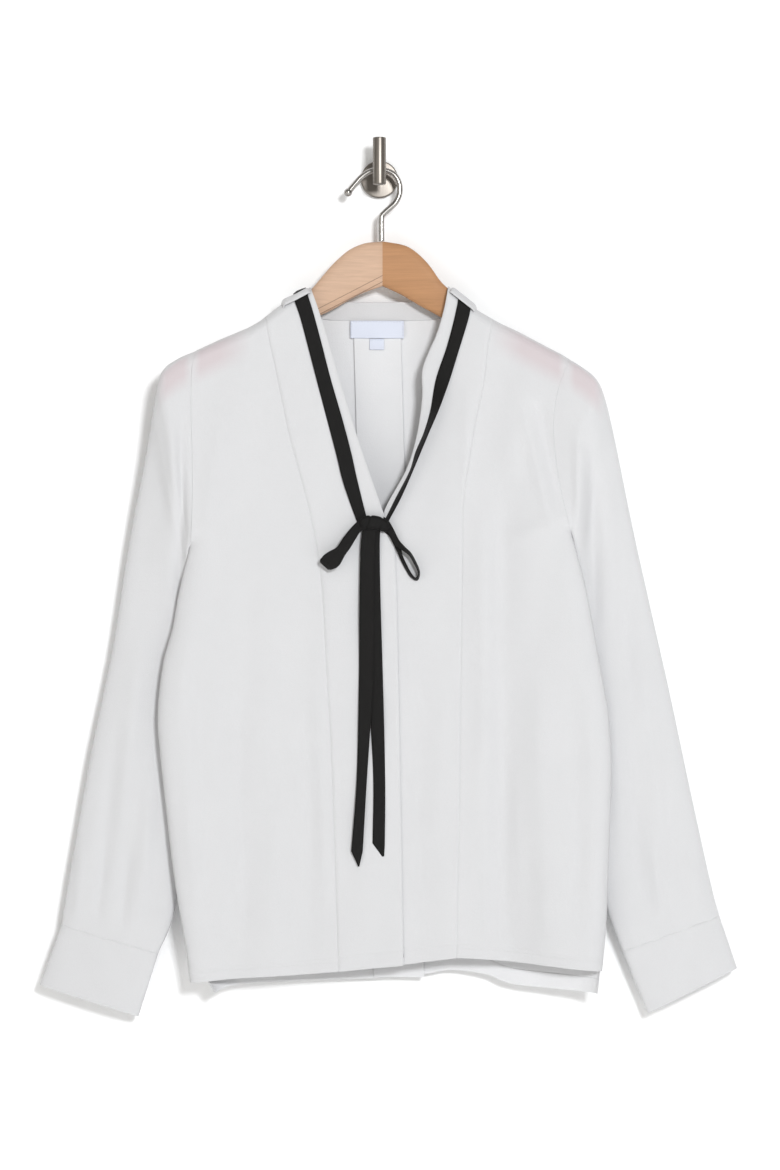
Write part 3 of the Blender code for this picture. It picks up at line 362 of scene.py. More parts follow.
# Ribbon round the neck, up the right band, behind the neck band and down the left band:
# outer edge x, z, inner edge x, z, face (-1 front, 0 shoulder line, 1 back), how far its outer edge is off.
RIBBON_PATH = [
    (-0.0185, -0.3370, -0.0100, -0.3330, -1, 0), (-0.0220, -0.3300, -0.0125, -0.3262, -1, 0),
    (-0.034, -0.296, -0.021, -0.292, -1, 0), (-0.041, -0.268, -0.027, -0.265, -1, 0),
    (-0.0495, -0.236, -0.0355, -0.233, -1, 0), (-0.0592, -0.199, -0.0462, -0.196, -1, 0),
    (-0.0672, -0.168, -0.0542, -0.165, -1, 0), (-0.0752, -0.138, -0.0625, -0.134, -1, 0),
    (-0.0805, -0.1225, -0.0680, -0.1165, -0.6, 0), (-0.0820, -0.116, -0.0705, -0.110, 0, 0),
    (-0.078, -0.124, -0.070, -0.112, 0.6, 0), (-0.070, -0.1305, -0.064, -0.1165, 0.8, 0),
    (-0.058, -0.135, -0.055, -0.121, 1, 0), (-0.030, -0.137, -0.029, -0.123, 1, 0),
    (0.000, -0.137, 0.000, -0.123, 1, 0), (0.030, -0.137, 0.029, -0.123, 1, 0),
    (0.058, -0.135, 0.055, -0.121, 1, 0), (0.071, -0.1305, 0.065, -0.1165, 0.8, 0),
    (0.080, -0.124, 0.072, -0.112, 0.6, 0), (0.087, -0.1243, 0.075, -0.1138, 0, 0),
    (0.087, -0.1290, 0.075, -0.1210, -0.6, 0),
    (0.084, -0.142, 0.071, -0.140, -1, 0), (0.076, -0.168, 0.064, -0.166, -1, 0),
    (0.067, -0.197, 0.054, -0.196, -1, 0.002), (0.057, -0.224, 0.049, -0.225, -1, 0.010),
    (0.048, -0.245, 0.043, -0.246, -1, 0.0125), (0.040, -0.264, 0.035, -0.265, -1, 0.0125),
    (0.032, -0.283, 0.029, -0.284, -1, 0.012), (0.021, -0.308, 0.016, -0.309, -1, 0.010),
    (0.0104, -0.3280, 0.0066, -0.3280, -1, 0.007), (0.0080, -0.3330, 0.0040, -0.3330, -1, 0.006),
]

# Bow: the knot's middle and size, then the right loop, which is folded: upper edge x, z, lower edge x, z, how
# far its front lies off its back, halved.
KNOT_CENTRE = (-0.0050, -0.0552, -0.3325)
KNOT_SIZE = (0.0300, 0.0086, 0.0136)
RIGHT_LOOP = [
    (-0.0110, -0.3275, -0.0105, -0.3390, 0.0020), (-0.0202, -0.3313, -0.0174, -0.3408, 0.0026),
    (-0.0278, -0.3389, -0.0221, -0.3475, 0.0040), (-0.0345, -0.3475, -0.0278, -0.3570, 0.0050),
    (-0.0402, -0.3560, -0.0326, -0.3636, 0.0056), (-0.0468, -0.3598, -0.0373, -0.3722, 0.0058),
    (-0.0520, -0.3632, -0.0411, -0.3757, 0.0054), (-0.0552, -0.3668, -0.0440, -0.3768, 0.0044),
]
# The left loop stands open, there and back: outer edge x, z, inner edge x, z, how far each is off the front.
LEFT_LOOP = [
    (0.0040, -0.3270, 0.0030, -0.3380, 0.0080, 0.0080), (0.0090, -0.3310, 0.0070, -0.3405, 0.0082, 0.0082),
    (0.0140, -0.3399, 0.0100, -0.3460, 0.0085, 0.0092), (0.0187, -0.3494, 0.0155, -0.3545, 0.0080, 0.0104),
    (0.0244, -0.3560, 0.0222, -0.3592, 0.0065, 0.0112), (0.0301, -0.3617, 0.0284, -0.3640, 0.0045, 0.0114),
    (0.0349, -0.3703, 0.0331, -0.3716, 0.0036, 0.0110), (0.0385, -0.3800, 0.0369, -0.3801, 0.0032, 0.0104),
    (0.0361, -0.3876, 0.0348, -0.3852, 0.0030, 0.0098), (0.0296, -0.3843, 0.0310, -0.3820, 0.0030, 0.0086),
    (0.0245, -0.3761, 0.0268, -0.3745, 0.0032, 0.0074), (0.0197, -0.3665, 0.0225, -0.3644, 0.0048, 0.0062),
    (0.0149, -0.3560, 0.0195, -0.3540, 0.0050, 0.0056), (0.0095, -0.3460, 0.0145, -0.3430, 0.0050, 0.0054),
    (0.0030, -0.3400, 0.0070, -0.3330, 0.0050, 0.0052),
]
# Tails: left edge x, z, right edge x, z, how much further off the front than TAIL_OFF.
RIGHT_TAIL = [
    (-0.0155, -0.3350, -0.0020, -0.3350, 0.0040), (-0.0180, -0.359, -0.0042, -0.359, 0.0050),
    (-0.0190, -0.406, -0.0052, -0.406, 0.0040), (-0.0195, -0.484, -0.0060, -0.484, 0.0030),
    (-0.0216, -0.577, -0.0118, -0.577, 0.0026), (-0.0268, -0.6457, -0.0158, -0.6457, 0.0026),
    (-0.0200, -0.6602, -0.0192, -0.6602, 0.0026),
]
LEFT_TAIL = [
    (-0.0120, -0.3350, 0.0010, -0.3350, 0.0030), (-0.0130, -0.359, 0.0004, -0.359, 0.0030),
    (-0.0125, -0.406, 0.0012, -0.406, 0.0020), (-0.0100, -0.484, 0.0035, -0.484, 0.0010),
    (-0.0058, -0.577, 0.0056, -0.577, 0.0010), (-0.0065, -0.6382, 0.0052, -0.6400, 0.0010),
    (0.0029, -0.6509, 0.0045, -0.6505, 0.0010),
]
# Carrier loops over the ribbon: first foot x, z, second foot x, z.
RIGHT_CARRIER = (-0.0925, -0.1262, -0.0665, -0.1125)
LEFT_CARRIER = (0.0915, -0.1310, 0.0680, -0.1120)
CARRIER_WIDTH = 0.0040

# Label and size tag on the back, under the neck band: left x, right x, top z, bottom z.
LABEL = (-0.028, 0.0235, -0.1375, -0.1545)
SIZE_TAG = (-0.0095, 0.0045, -0.1550, -0.1655)

# Hanger arms: x, top z, bottom z.
RIGHT_ARM = [
    (JOINT_X, -0.062, -0.105), (-0.014, -0.064, -0.111), (-0.028, -0.070, -0.118),
    (-0.038, -0.078, -0.124), (-0.047, -0.087, -0.129), (-0.057, -0.099, -0.134),
    (-0.067, -0.110, -0.139), (-0.079, -0.115, -0.145), (-0.095, -0.127, -0.153), (-0.114, None, -0.163),
    (-0.124, None, -0.168), (-0.152, None, -0.182), (-0.171, -0.1696, -0.192), (-0.191, -0.1802, -0.201),
    (-0.200, -0.188, -0.203), (-0.204, -0.192, -0.201),
]
LEFT_ARM = [
    (JOINT_X, -0.062, -0.105), (0.020, -0.065, -0.113), (0.030, -0.069, -0.119),
    (0.040, -0.077, -0.125), (0.049, -0.087, -0.130), (0.058, -0.100, -0.135),
    (0.067, -0.109, -0.140), (0.089, -0.128, -0.151), (0.096, None, -0.155), (0.115, None, -0.165),
    (0.134, None, -0.175), (0.154, None, -0.186), (0.173, None, -0.196), (0.192, None, -0.206),
    (0.202, -0.195, -0.209), (0.206, -0.199, -0.207),
]
HOOK_PATH = [
    (0.002, -0.0616), (0.002, -0.040), (0.0045, -0.035), (0.010, -0.030), (0.016, -0.024),
    (0.0195, -0.015), (0.0185, -0.005), (0.0125, 0.0035), (0.001, 0.0070), (-0.009, 0.0052),
    (-0.017, 0.0000), (-0.023, -0.0065), (-0.0285, -0.0130),
]

# Shares across and down a front, a band, the back and the neck band, closer where the cloth turns.
TURN = [0, 0.003, 0.009, 0.018]
FRONT_ACROSS = [0, 0.10, 0.22, 0.35, 0.48, 0.60, 0.72, 0.82, 0.90, 0.95, 0.985, 1]
FRONT_DOWN = TURN + list(np.linspace(0.04, 0.31, 10)) + list(np.linspace(0.37, 1, 10))
BAND_ACROSS = [0, 0.25, 0.5, 0.75, 1]
BACK_ACROSS = [0, 0.015, 0.05, 0.10, 0.20, 0.34, 0.48, 0.51, 0.57, 0.66, 0.75, 0.87, 1]
BACK_DOWN = TURN + list(np.linspace(0.04, 0.34, 9)) + list(np.linspace(0.43, 1, 7))
NECK_ALONG = [0, 0.006, 0.015, 0.03] + list(np.linspace(0.06, 0.94, 17)) + [0.97, 0.985, 0.994, 1]
# Points round a sleeve and a cuff.
SLEEVE_ROUND = 112

# Stage: the floor, the planes' reach, the wall's plane, the point that the lights face, and the camera, whose
# lens takes in FRAME_HEIGHT at the wall.
FLOOR_Z = -1.25
STAGE_REACH = 4
STAGE_TOP = 3
BACKDROP_Y = 0.0006
LOOK_AT = (0.0, 0.0, -0.39)
CAMERA_AT = (0.01017, -3.2, -0.3921)
FRAME_HEIGHT = 1.1327
SENSOR = 36
# Lights: name, place, size, watts, colour. Then the room's own light.
LIGHTS = (("key", (0.80, -3.5, 0.42), 0.5, 83.0, (0.965, 0.982, 1.0)),
          ("fill", (-2.2, -3.0, -0.2), 2.2, 14.0, (1.0, 0.97, 0.92)))
ROOM_COLOUR = (1.0, 0.98, 0.94)
ROOM_STRENGTH = 0.34


def catmull_rom(rows, i, t):
    """The Catmull-Rom curve through all rows, at a share t of the way from row i to the next."""
    padded = np.vstack([2 * rows[0] - rows[1], rows, 2 * rows[-1] - rows[-2]])
    p0, p1, p2, p3 = (padded[i + k] for k in range(4))
    return 0.5 * (2 * p1 + (p2 - p0) * t + (2 * p0 - 5 * p1 + 4 * p2 - p3) * t**2
                  + (3 * p1 - p0 - 3 * p2 + p3) * t**3)


def smooth(table, count):
    """Points at even steps of length along a curve through a table's rows."""
    rows = np.array(table, float)
    if len(rows) == 2:
        return rows[0] + (rows[1] - rows[0]) * np.linspace(0, 1, count)[:, None]
    step = np.linalg.norm(np.diff(rows[:, :2], axis=0), axis=1)
    length = np.concatenate([[0], np.cumsum(step)])
    at = np.linspace(0, length[-1], count)
    i = np.clip(np.searchsorted(length, at, side="right") - 1, 0, len(rows) - 2)
    return catmull_rom(rows, i, ((at - length[i]) / step[i])[:, None])


def by_row(table, per_row):
    """The same curve, with even steps from one row of the table to the next."""
    rows = np.array(table, float)
    at = np.linspace(0, len(rows) - 1, (len(rows) - 1) * per_row + 1)
    i = np.minimum(at.astype(int), len(rows) - 2)
    return catmull_rom(rows, i, (at - i)[:, None])


def between(at, known, table):
    """Each column of a table, straight between its known places, at other places."""
    return np.stack([np.interp(at, known, column) for column in table.T], 1)


def fuller(wave, power):
    """A sine or cosine with its sign kept, made fuller by a power below 1."""
    return np.sign(wave) * np.abs(wave) ** power


def quarter_round(t):
    """Rises from 0 to 1 as a quarter circle does, and stays at 1."""
    return np.sqrt(np.clip(1 - (1 - np.clip(t, 0, 1)) ** 2, 0, 1))


def distance_to(curve, x, z):
    """Shortest distance from each point to a polyline in the front view, less ON_SEAM."""
    best = np.full(np.shape(x), 1.0)
    for (ax, az), (bx, bz) in zip(curve[:-1], curve[1:]):
        dx, dz = bx - ax, bz - az
        t = np.clip(((x - ax) * dx + (z - az) * dz) / (dx * dx + dz * dz), 0, 1)
        best = np.minimum(best, np.hypot(x - ax - t * dx, z - az - t * dz))
    return np.maximum(best - ON_SEAM, 0)


def shoulder_z(x):
    """Height of the shoulder line at x, straight from row to row of its table."""
    line = np.array(SHOULDER)
    return np.interp(x, line[:, 0], line[:, 1])


def shoulder_edge(x_from, x_to):
    """A panel's top seam: seven even points on the shoulder line."""
    return [(x, float(shoulder_z(x))) for x in np.linspace(x_from, x_to, 7)]


def hanger_y(x):
    """Depth of the hanger's plane, which sweeps forward to both sides."""
    return HANGER_Y - HANGER_SWEEP * np.abs(x)


def wall_y(x, z, flat, sides):
    """A flat depth, rounded to the hanger's plane at the shoulder line and to the seam's at each side."""
    top = hanger_y(x)
    y = top + (flat - top) * quarter_round((shoulder_z(x) - z - ON_SEAM / 2) / SHOULDER_ROUND)
    side = np.minimum(*(distance_to(curve, x, z) for curve in sides))
    return SIDE_Y + (y - SIDE_Y) * quarter_round(side / SIDE_ROUND)


def front_y(x, z):
    """The front without creases: forward with the square of x, and a soft bell across for each fold."""
    flat = FRONT_Y - FRONT_CURVE * (x / HALF_WIDTH) ** 2
    for top_x, hem_x, top_z, half, depth in FRONT_FOLDS:
        down = np.clip((top_z - z) / (top_z - FOLD_END_Z), 0, 1)
        middle = top_x + (hem_x - top_x) * down
        flat = flat + depth * down**0.7 * np.exp(-(((x - middle) / half) ** 2))
    return wall_y(x, z, flat, (smooth(RIGHT_SIDE, 60), smooth(LEFT_SIDE, 60))) - SEAM_Y


def back_y(x, z):
    """The back without creases: forward with the square of x."""
    flat = BACK_Y - BACK_CURVE * (x / HALF_WIDTH) ** 2
    return wall_y(x, z, flat, (smooth(BACK_RIGHT_SIDE, 60), smooth(BACK_LEFT_SIDE, 60))) + SEAM_Y


def fill(inner, outer, top, bottom, across, down):
    """Points (x, z) between four seams: the sum of both pairs' blends less the corners' blend."""
    u, v = np.array(across)[:, None, None], np.array(down)[None, :, None]

    def at(table, steps):
        return between(steps.ravel() * (FINE - 1), np.arange(FINE), smooth(table, FINE))

    a, b = at(inner, v)[None], at(outer, v)[None]
    c, d = at(top, u)[:, None], at(bottom, u)[:, None]
    corners = ((1 - u) * (1 - v) * a[:, :1] + u * (1 - v) * b[:, :1]
               + (1 - u) * v * a[:, -1:] + u * v * b[:, -1:])
    return (1 - u) * a + u * b + (1 - v) * c + v * d - corners


def lay(x, z, face, off):
    """A point moved out from the front (face below 0), the shoulder line (0) or the back (above 0)."""
    top_z = shoulder_z(x)
    z = np.where(face == 0, top_z, z)
    y = np.where(face < 0, front_y(x, z), np.where(face > 0, back_y(x, z), hanger_y(x)))
    out_y = y - hanger_y(x)
    out_z = np.maximum(z - top_z + SHOULDER_ROUND, 0)
    length = np.hypot(out_y, out_z)
    return np.stack([x, y + off * out_y / length, z + off * out_z / length], -1)


def finish_of(name):
    """The material of that name."""
    return bpy.data.materials[name]


def put(name, mesh, finish, replaced):
    """Links a finished mesh as a piece that rides on the part and stands for CAD nodes."""
    mesh.materials.clear()
    mesh.materials.append(finish)
    piece = bpy.data.objects.new(name, mesh)
    bpy.context.scene.collection.objects.link(piece)
    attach(piece, BODY)
    if replaced:
        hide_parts(*replaced)
    return piece


def grid_mesh(name, points, tube=False):
    """A mesh on a grid of points, across by down; a tube's last column joins its first.

    Its UV map is the cloth's own plane in metres: u is the mean length across, v the mean length down.
    """
    across, down = points.shape[:2]
    columns = across if tube else across - 1
    i, j = np.meshgrid(np.arange(columns), np.arange(down - 1), indexing="ij")
    k = (i + 1) % across
    faces = np.stack([i * down + j, k * down + j, k * down + j + 1, i * down + j + 1], -1).reshape(-1, 4)
    mesh = bpy.data.meshes.new(name)
    mesh.vertices.add(across * down)
    mesh.vertices.foreach_set("co", points.reshape(-1).astype(np.float32))
    mesh.loops.add(faces.size)
    mesh.loops.foreach_set("vertex_index", faces.reshape(-1).astype(np.int32))
    mesh.polygons.add(len(faces))
    mesh.polygons.foreach_set("loop_start", np.arange(0, faces.size, 4, dtype=np.int32))
    mesh.polygons.foreach_set("use_smooth", np.ones(len(faces), bool))
    mesh.update(calc_edges=True)
    u = np.concatenate([[0], np.linalg.norm(np.diff(points, axis=0), axis=2).mean(1).cumsum()])
    v = np.concatenate([[0], np.linalg.norm(np.diff(points, axis=1), axis=2).mean(0).cumsum()])
    next_u = u[np.minimum(i + 1, across - 1)] + (i + 1 == across) * u[1]
    u_at = np.stack([u[i], next_u, next_u, u[i]], -1)
    v_at = np.stack([v[j], v[j], v[j + 1], v[j + 1]], -1)
    layer = mesh.uv_layers.new(name="cloth")
    layer.data.foreach_set("uv", np.stack([u_at, v_at], -1).reshape(-1).astype(np.float32))
    return mesh


def wall(piece, thickness):
    """Gives a surface its thickness, equally to both sides, with edges that are shaded as its faces are."""
    solid = piece.modifiers.new("wall", "SOLIDIFY")
    solid.thickness = thickness
    solid.offset = 0
    even = piece.modifiers.new("edges", "WEIGHTED_NORMAL")
    even.weight = EDGE_WEIGHT
    return piece


def soft(table, x, z):
    """Soft ridges (depth above 0) and troughs along straight stretches: a bell across, faded at both ends."""
    total = np.zeros(np.shape(x))
    for x0, z0, x1, z1, half, depth in table:
        dx, dz = x1 - x0, z1 - z0
        t = ((x - x0) * dx + (z - z0) * dz) / (dx * dx + dz * dz)
        off = (x - x0 - t * dx) ** 2 + (z - z0 - t * dz) ** 2
        fade = np.clip(1 - np.abs(2 * t - 1) ** 3, 0, 1) * (np.abs(2 * t - 1) < 1)
        total += depth * fade * np.exp(-off / half**2)
    return total * sizes().fold_share


def ripple(x, z):
    """A slight unevenness that hanging cloth has: three slow waves that cross."""
    return RIPPLE * (np.sin(x * 88 + np.sin(z * 17) * 1.6) + 0.7 * np.sin(x * 141 - z * 31 + 1.3)
                     + 0.5 * np.sin(z * 63 + x * 47 + 0.4))


def over_wood(x, z):
    """How strongly the hanger's arm shows through: patches below the shoulder line, faded at each end."""
    depth = shoulder_z(x) - z
    arm = np.clip(depth / 0.004, 0, 1) * np.clip((SHOWN_DEPTH - depth) / 0.016, 0, 1)
    near, far = np.where(x < 0, *SHOWN_FROM), np.where(x < 0, *SHOWN_TO)
    reach = np.clip((np.abs(x) - near) / 0.03, 0, 1) * np.clip((far - np.abs(x)) / 0.010, 0, 1)
    seam = np.abs(np.abs(x) - SHOWN_SEAM)
    return arm * reach * np.clip(seam / 0.008, 0.25, 1)


def tint(mesh, values):
    """Stores a point attribute that the crepe's colour reads."""
    layer = mesh.attributes.new("over_wood", "FLOAT", "POINT")
    layer.data.foreach_set("value", values.reshape(-1).astype(np.float32))


def steps(table, count):
    """Splits each step of a list of shares into even smaller ones."""
    table = np.array(table, float)
    at = np.linspace(0, len(table) - 1, (len(table) - 1) * count + 1)
    return np.interp(at, np.arange(len(table)), table)


def near_edge(x, z, curves, reach):
    """0 on the given seams, rising to 1 at a distance of reach, so that creases die out there."""
    far = np.minimum.reduce([distance_to(curve, x, z) for curve in curves])
    return np.clip(far / reach, 0, 1)


def front_at(x, z):
    """The front with its creases: y = f(x, z) less ridges and ripples, calm at the shoulder and the sides."""
    calm = near_edge(x, z, (smooth(RIGHT_SIDE, 60), smooth(LEFT_SIDE, 60)), 0.018)
    calm = calm * np.clip((shoulder_z(x) - z) / 0.03, 0, 1)
    return front_y(x, z) - calm * (soft(FRONT_CREASES, x, z) + ripple(x, z))


def back_at(x, z):
    """The back with its creases, which stand away from the viewer."""
    calm = near_edge(x, z, (smooth(BACK_RIGHT_SIDE, 60), smooth(BACK_LEFT_SIDE, 60)), 0.020)
    calm = calm * np.clip((shoulder_z(x) - z) / 0.04, 0, 1)
    return back_y(x, z) + calm * (soft(BACK_CREASES, x, z) + ripple(x + 0.3, z))


def cloth_piece(name, points, node, thickness=None, tube=False, finish="white crepe",
                wood=None):
    """A finished cloth piece: the surface, its wall and its place in the part."""
    mesh = grid_mesh(name, points, tube)
    if finish.endswith("crepe"):
        tint(mesh, np.zeros(points.shape[:2]) if wood is None else wood)
    piece = put(name, mesh, finish_of(finish), [node])
    return wall(piece, sizes().cloth if thickness is None else thickness)


def rgba(value):
    """A colour with full alpha."""
    return (*value, 1.0)


def times(tone, share):
    """A colour made lighter or darker by a share."""
    return tuple(min(1.0, c * share) for c in tone)


class Finish:
    """A material under way: its nodes, its links and its shader."""

    def __init__(self, name):
        self.made = bpy.data.materials.new(name)
        self.made.use_nodes = True
        self.nodes = self.made.node_tree.nodes
        self.links = self.made.node_tree.links
        self.shader = self.nodes["Principled BSDF"]

    def plug(self, value, socket):
        """Links a socket, or sets it to a number, a vector or a colour."""
        if isinstance(value, bpy.types.NodeSocket):
            self.links.new(value, socket)
        else:
            socket.default_value = value

    def node(self, kind, **values):
        """A new node, with its sockets and its other values by name."""
        made = self.nodes.new("ShaderNode" + kind)
        for key, value in values.items():
            if key in made.inputs:
                self.plug(value, made.inputs[key])
            else:
                setattr(made, key, value)
        return made

    def place(self, uv=False):
        """Where a texture is read: in the piece's own metres, or on the cloth's UV map."""
        if uv:
            return self.node("UVMap", uv_map="cloth").outputs["UV"]
        return self.node("TexCoord").outputs["Object"]

    def noise(self, place, scale, detail, **values):
        """A noise from 0 to 1."""
        return self.node("TexNoise", Vector=place, Scale=scale, Detail=detail, **values).outputs["Fac"]

    def wave(self, place, scale, direction, **values):
        """Bands from 0 to 1 across a direction."""
        made = self.node("TexWave", Vector=place, Scale=scale, bands_direction=direction, **values)
        return made.outputs["Fac"]

    def blend(self, factor, low, high):
        """A mix of two colours, or sockets, by a factor."""
        made = self.node("Mix", data_type="RGBA")
        self.links.new(factor, made.inputs["Factor"])
        for key, value in (("A", low), ("B", high)):
            self.plug(rgba(value) if isinstance(value, tuple) else value, made.inputs[key])
        return made.outputs["Result"]

    def bump(self, height, strength, distance, under=None):
        """A normal tilted by a height, on top of another where one is given."""
        made = self.node("Bump", Strength=strength, Distance=distance, Height=height)
        if under is not None:
            self.links.new(under, made.inputs["Normal"])
        return made.outputs["Normal"]

    def math(self, operation, *values):
        """A sum or comparison of numbers or sockets."""
        made = self.node("Math", operation=operation)
        for socket, value in zip(made.inputs, values):
            self.plug(value, socket)
        return made.outputs["Value"]

    def spread(self, value, low, high, most):
        """0 up to low, rising to most at high."""
        made = self.node("MapRange", **{"From Min": low, "From Max": high, "To Min": 0.0, "To Max": most})
        self.links.new(value, made.inputs["Value"])
        return made.outputs["Result"]

    def shade(self, **values):
        """Sets the shader's sockets; a single _ in a name stands for a blank."""
        for key, value in values.items():
            self.plug(value, self.shader.inputs[key.replace("_", " ")])


def crepe_material(name, lift=1.0):
    """Matte crepe: a pebbled grain of fine noise, a soft mottle, and the hanger's tone where it shows.

    lift brightens the back's cloth, which light reaches through the thin fronts.
    """
    made = Finish(name)
    look = colours()
    place = made.place()
    grain = made.noise(place, 1150.0, 3.0, Roughness=0.65)
    mottle = made.noise(place, 26.0, 2.0, Roughness=0.5)
    threads = made.wave(place, 260.0, "Z", Distortion=2.5, Detail=2.0)
    low, high = (tuple(c * lift for c in tone) for tone in (look.crepe_low, look.crepe))
    cloth = made.blend(grain, low, high)
    cloth = made.blend(made.spread(mottle, 0.3, 0.7, 0.22), cloth, low)
    wood = made.node("Attribute", attribute_name="over_wood").outputs["Fac"]
    normal = made.bump(grain, 0.55, 0.00030, made.bump(threads, 0.18, 0.00012))
    made.shade(Base_Color=made.blend(wood, cloth, tuple(look.over_wood)), Normal=normal, Roughness=0.88,
               Specular_IOR_Level=0.25, Sheen_Weight=0.12, Sheen_Roughness=0.6)


def ribbon_material():
    """Black grosgrain: fine ribs across the ribbon and a fuzz of noise, both on its UV map."""
    made = Finish("black ribbon")
    tone = tuple(colours().ribbon)
    place = made.place(uv=True)
    ribs = made.wave(place, 420.0, "Y", Distortion=0.4)
    fuzz = made.noise(place, 2200.0, 2.0)
    lighter = tuple(c * 1.8 + 0.001 for c in tone)
    normal = made.bump(ribs, 0.6, 0.00022, made.bump(fuzz, 0.3, 0.0001))
    made.shade(Base_Color=made.blend(ribs, tone, lighter), Normal=normal, Roughness=0.72,
               Specular_IOR_Level=0.22, Sheen_Weight=0.02)


def label_material():
    """Pale satin tape: a fine weave in two directions, on its UV map."""
    made = Finish("label tape")
    tone = tuple(colours().label)
    place = made.place(uv=True)
    warp = made.wave(place, 520.0, "X")
    weft = made.wave(place, 380.0, "Y")
    normal = made.bump(weft, 0.3, 0.0001, made.bump(warp, 0.3, 0.0001))
    made.shade(Base_Color=made.blend(weft, tone, times(tone, 1.22)), Normal=normal, Roughness=0.45)


def bevel_shade_lines(made, place):
    """1 on two thin slanted lines along the arm's lower bevel, where its shade is painted: z = slope x +
    start, each as wide as the lines' width constant.
    """
    split = made.node("SeparateXYZ", Vector=place)
    slant = made.math("MULTIPLY", split.outputs["X"], BEVEL_SHADE_SLOPE)
    height = made.math("SUBTRACT", split.outputs["Z"], slant)
    marks = []
    for start in BEVEL_SHADE_STARTS:
        off = made.math("ABSOLUTE", made.math("SUBTRACT", height, start))
        marks.append(made.math("LESS_THAN", off, BEVEL_SHADE_WIDTH / 2))
    return made.math("MAXIMUM", *marks)


def wood_material(name, tone, slope, cut=False):
    """Varnished wood: grain stretched along the arm's slope, and small pores; one arm has two dark lines of
    painted shade along its lower bevel.
    """
    made = Finish(name)
    place = made.place()
    turn = (0, math.radians(slope), 0)
    along = made.node("Mapping", Vector=place, Rotation=turn, Scale=(14.0, 60.0, 260.0)).outputs["Vector"]
    grain = made.noise(along, 1.6, 5.0, Roughness=0.6, Distortion=0.6)
    pores = made.noise(along, 9.0, 3.0, Roughness=0.7)
    base = made.blend(grain, times(tone, 0.74), times(tone, 1.16))
    base = made.blend(made.spread(pores, 0.62, 0.78, 0.35), base, times(tone, 0.6))
    normal = made.bump(pores, 0.15, 0.0003)
    # cut paints two dark lines of shade where the right arm's lower bevel turns from the light. The bump
    # gives them a slight groove.
    if cut:
        bevel_shade = bevel_shade_lines(made, place)
        base = made.blend(bevel_shade, base, times(tone, 0.45))
        normal = made.bump(bevel_shade, -0.6, 0.0004, normal)
    made.shade(Base_Color=base, Normal=normal, Roughness=0.55, Specular_IOR_Level=0.3)


def metal_material(name, tone, roughness, brush):
    """Bare metal with fine brush marks, nearly none on the polished wire."""
    made = Finish(name)
    stretch = made.node("Mapping", Vector=made.place(), Scale=(2600.0, 2600.0, 160.0)).outputs["Vector"]
    marks = made.noise(stretch, 1.0, 2.0)
    made.shade(Base_Color=made.blend(marks, times(tone, 1 - 0.25 * brush), tuple(tone)),
               Normal=made.bump(marks, 0.25 * brush, 0.00008), Metallic=1.0, Roughness=roughness)


def wall_material():
    """The backdrop: matte paint in front, clear from behind so that the back of the blouse can be seen."""
    made = Finish("backdrop paint")
    paint = rgba(colours().wall)
    made.shade(Base_Color=paint, Roughness=0.95, Emission_Color=paint, Emission_Strength=0.04)
    mix = made.node("MixShader", Fac=made.node("NewGeometry").outputs["Backfacing"])
    made.links.new(made.shader.outputs["BSDF"], mix.inputs[1])
    made.links.new(made.node("BsdfTransparent").outputs["BSDF"], mix.inputs[2])
    made.links.new(mix.outputs["Shader"], made.nodes["Material Output"].inputs["Surface"])


def inset_path(points, edge, inset):
    """Points a set distance in from one edge of a grid, and the grid's normal at each."""
    turned_over = points.transpose(1, 0, 2)
    grid = {"first": points, "last": points[::-1], "top": turned_over, "hem": turned_over[::-1]}[edge]
    reach = np.linalg.norm(np.diff(grid, axis=0), axis=2).cumsum(0)
    k = np.minimum((reach < inset).sum(0), len(grid) - 2)
    m = np.arange(grid.shape[1])
    before = np.where(k > 0, reach[k - 1, m], 0)
    t = ((inset - before) / (reach[k, m] - before))[:, None]
    inward = grid[k + 1, m] - grid[k, m]
    path = grid[k, m] + inward * t
    return path, np.cross(inward, np.gradient(path, axis=0))


def topstitches(name, lines, finish="white crepe"):
    """One mesh of short threads, each a slim diamond that lies along a line of stitching, just off the cloth.

    A line is a path, a normal at each of its points, and the direction that its normals turn to. Zeros for
    that direction leave them as they are.
    """
    size = sizes()
    threads = []
    for path, normal, outward in lines:
        length_at = np.concatenate([[0], np.linalg.norm(np.diff(path, axis=0), axis=1).cumsum()])
        at = np.arange(size.stitch_pitch, length_at[-1] - size.stitch_pitch, size.stitch_pitch)
        middle = between(at, length_at, path)
        out = between(at, length_at, normal)
        way = between(at + size.stitch / 2, length_at, path) - middle
        way /= np.linalg.norm(way, axis=1)[:, None]
        out -= way * (out * way).sum(1)[:, None]
        out /= np.linalg.norm(out, axis=1)[:, None]
        side = np.sign((out * np.array(outward)).sum(1))[:, None]
        out = out * np.where(side == 0, 1, side)
        across = np.cross(way, out)
        middle = middle + out * (size.cloth / 2 + THREAD_OFF)
        along, wide, high = way * size.stitch / 2, across * THREAD_WIDE, out * THREAD_HIGH
        threads.append(np.stack([middle - along - high, middle + along - high, middle - wide, middle + wide,
                                 middle + high, middle - 2 * high], 1))
    corners = np.concatenate(threads)
    faces = np.array([[0, 2, 4], [0, 4, 3], [1, 4, 2], [1, 3, 4], [0, 5, 2], [0, 3, 5], [1, 2, 5], [1, 5, 3]])
    every = (faces[None] + 6 * np.arange(len(corners))[:, None, None]).reshape(-1, 3)
    return put(name, shell_mesh(name, corners.reshape(-1, 3), every), finish_of(finish), [])


def shell_mesh(name, points, faces):
    """A mesh of closed shells, shaded smooth, with its faces turned outward."""
    mesh = bpy.data.meshes.new(name)
    mesh.from_pydata(points, [], faces)
    shape = bmesh.new()
    shape.from_mesh(mesh)
    bmesh.ops.recalc_face_normals(shape, faces=shape.faces)
    shape.to_mesh(mesh)
    shape.free()
    mesh.shade_smooth()
    return mesh


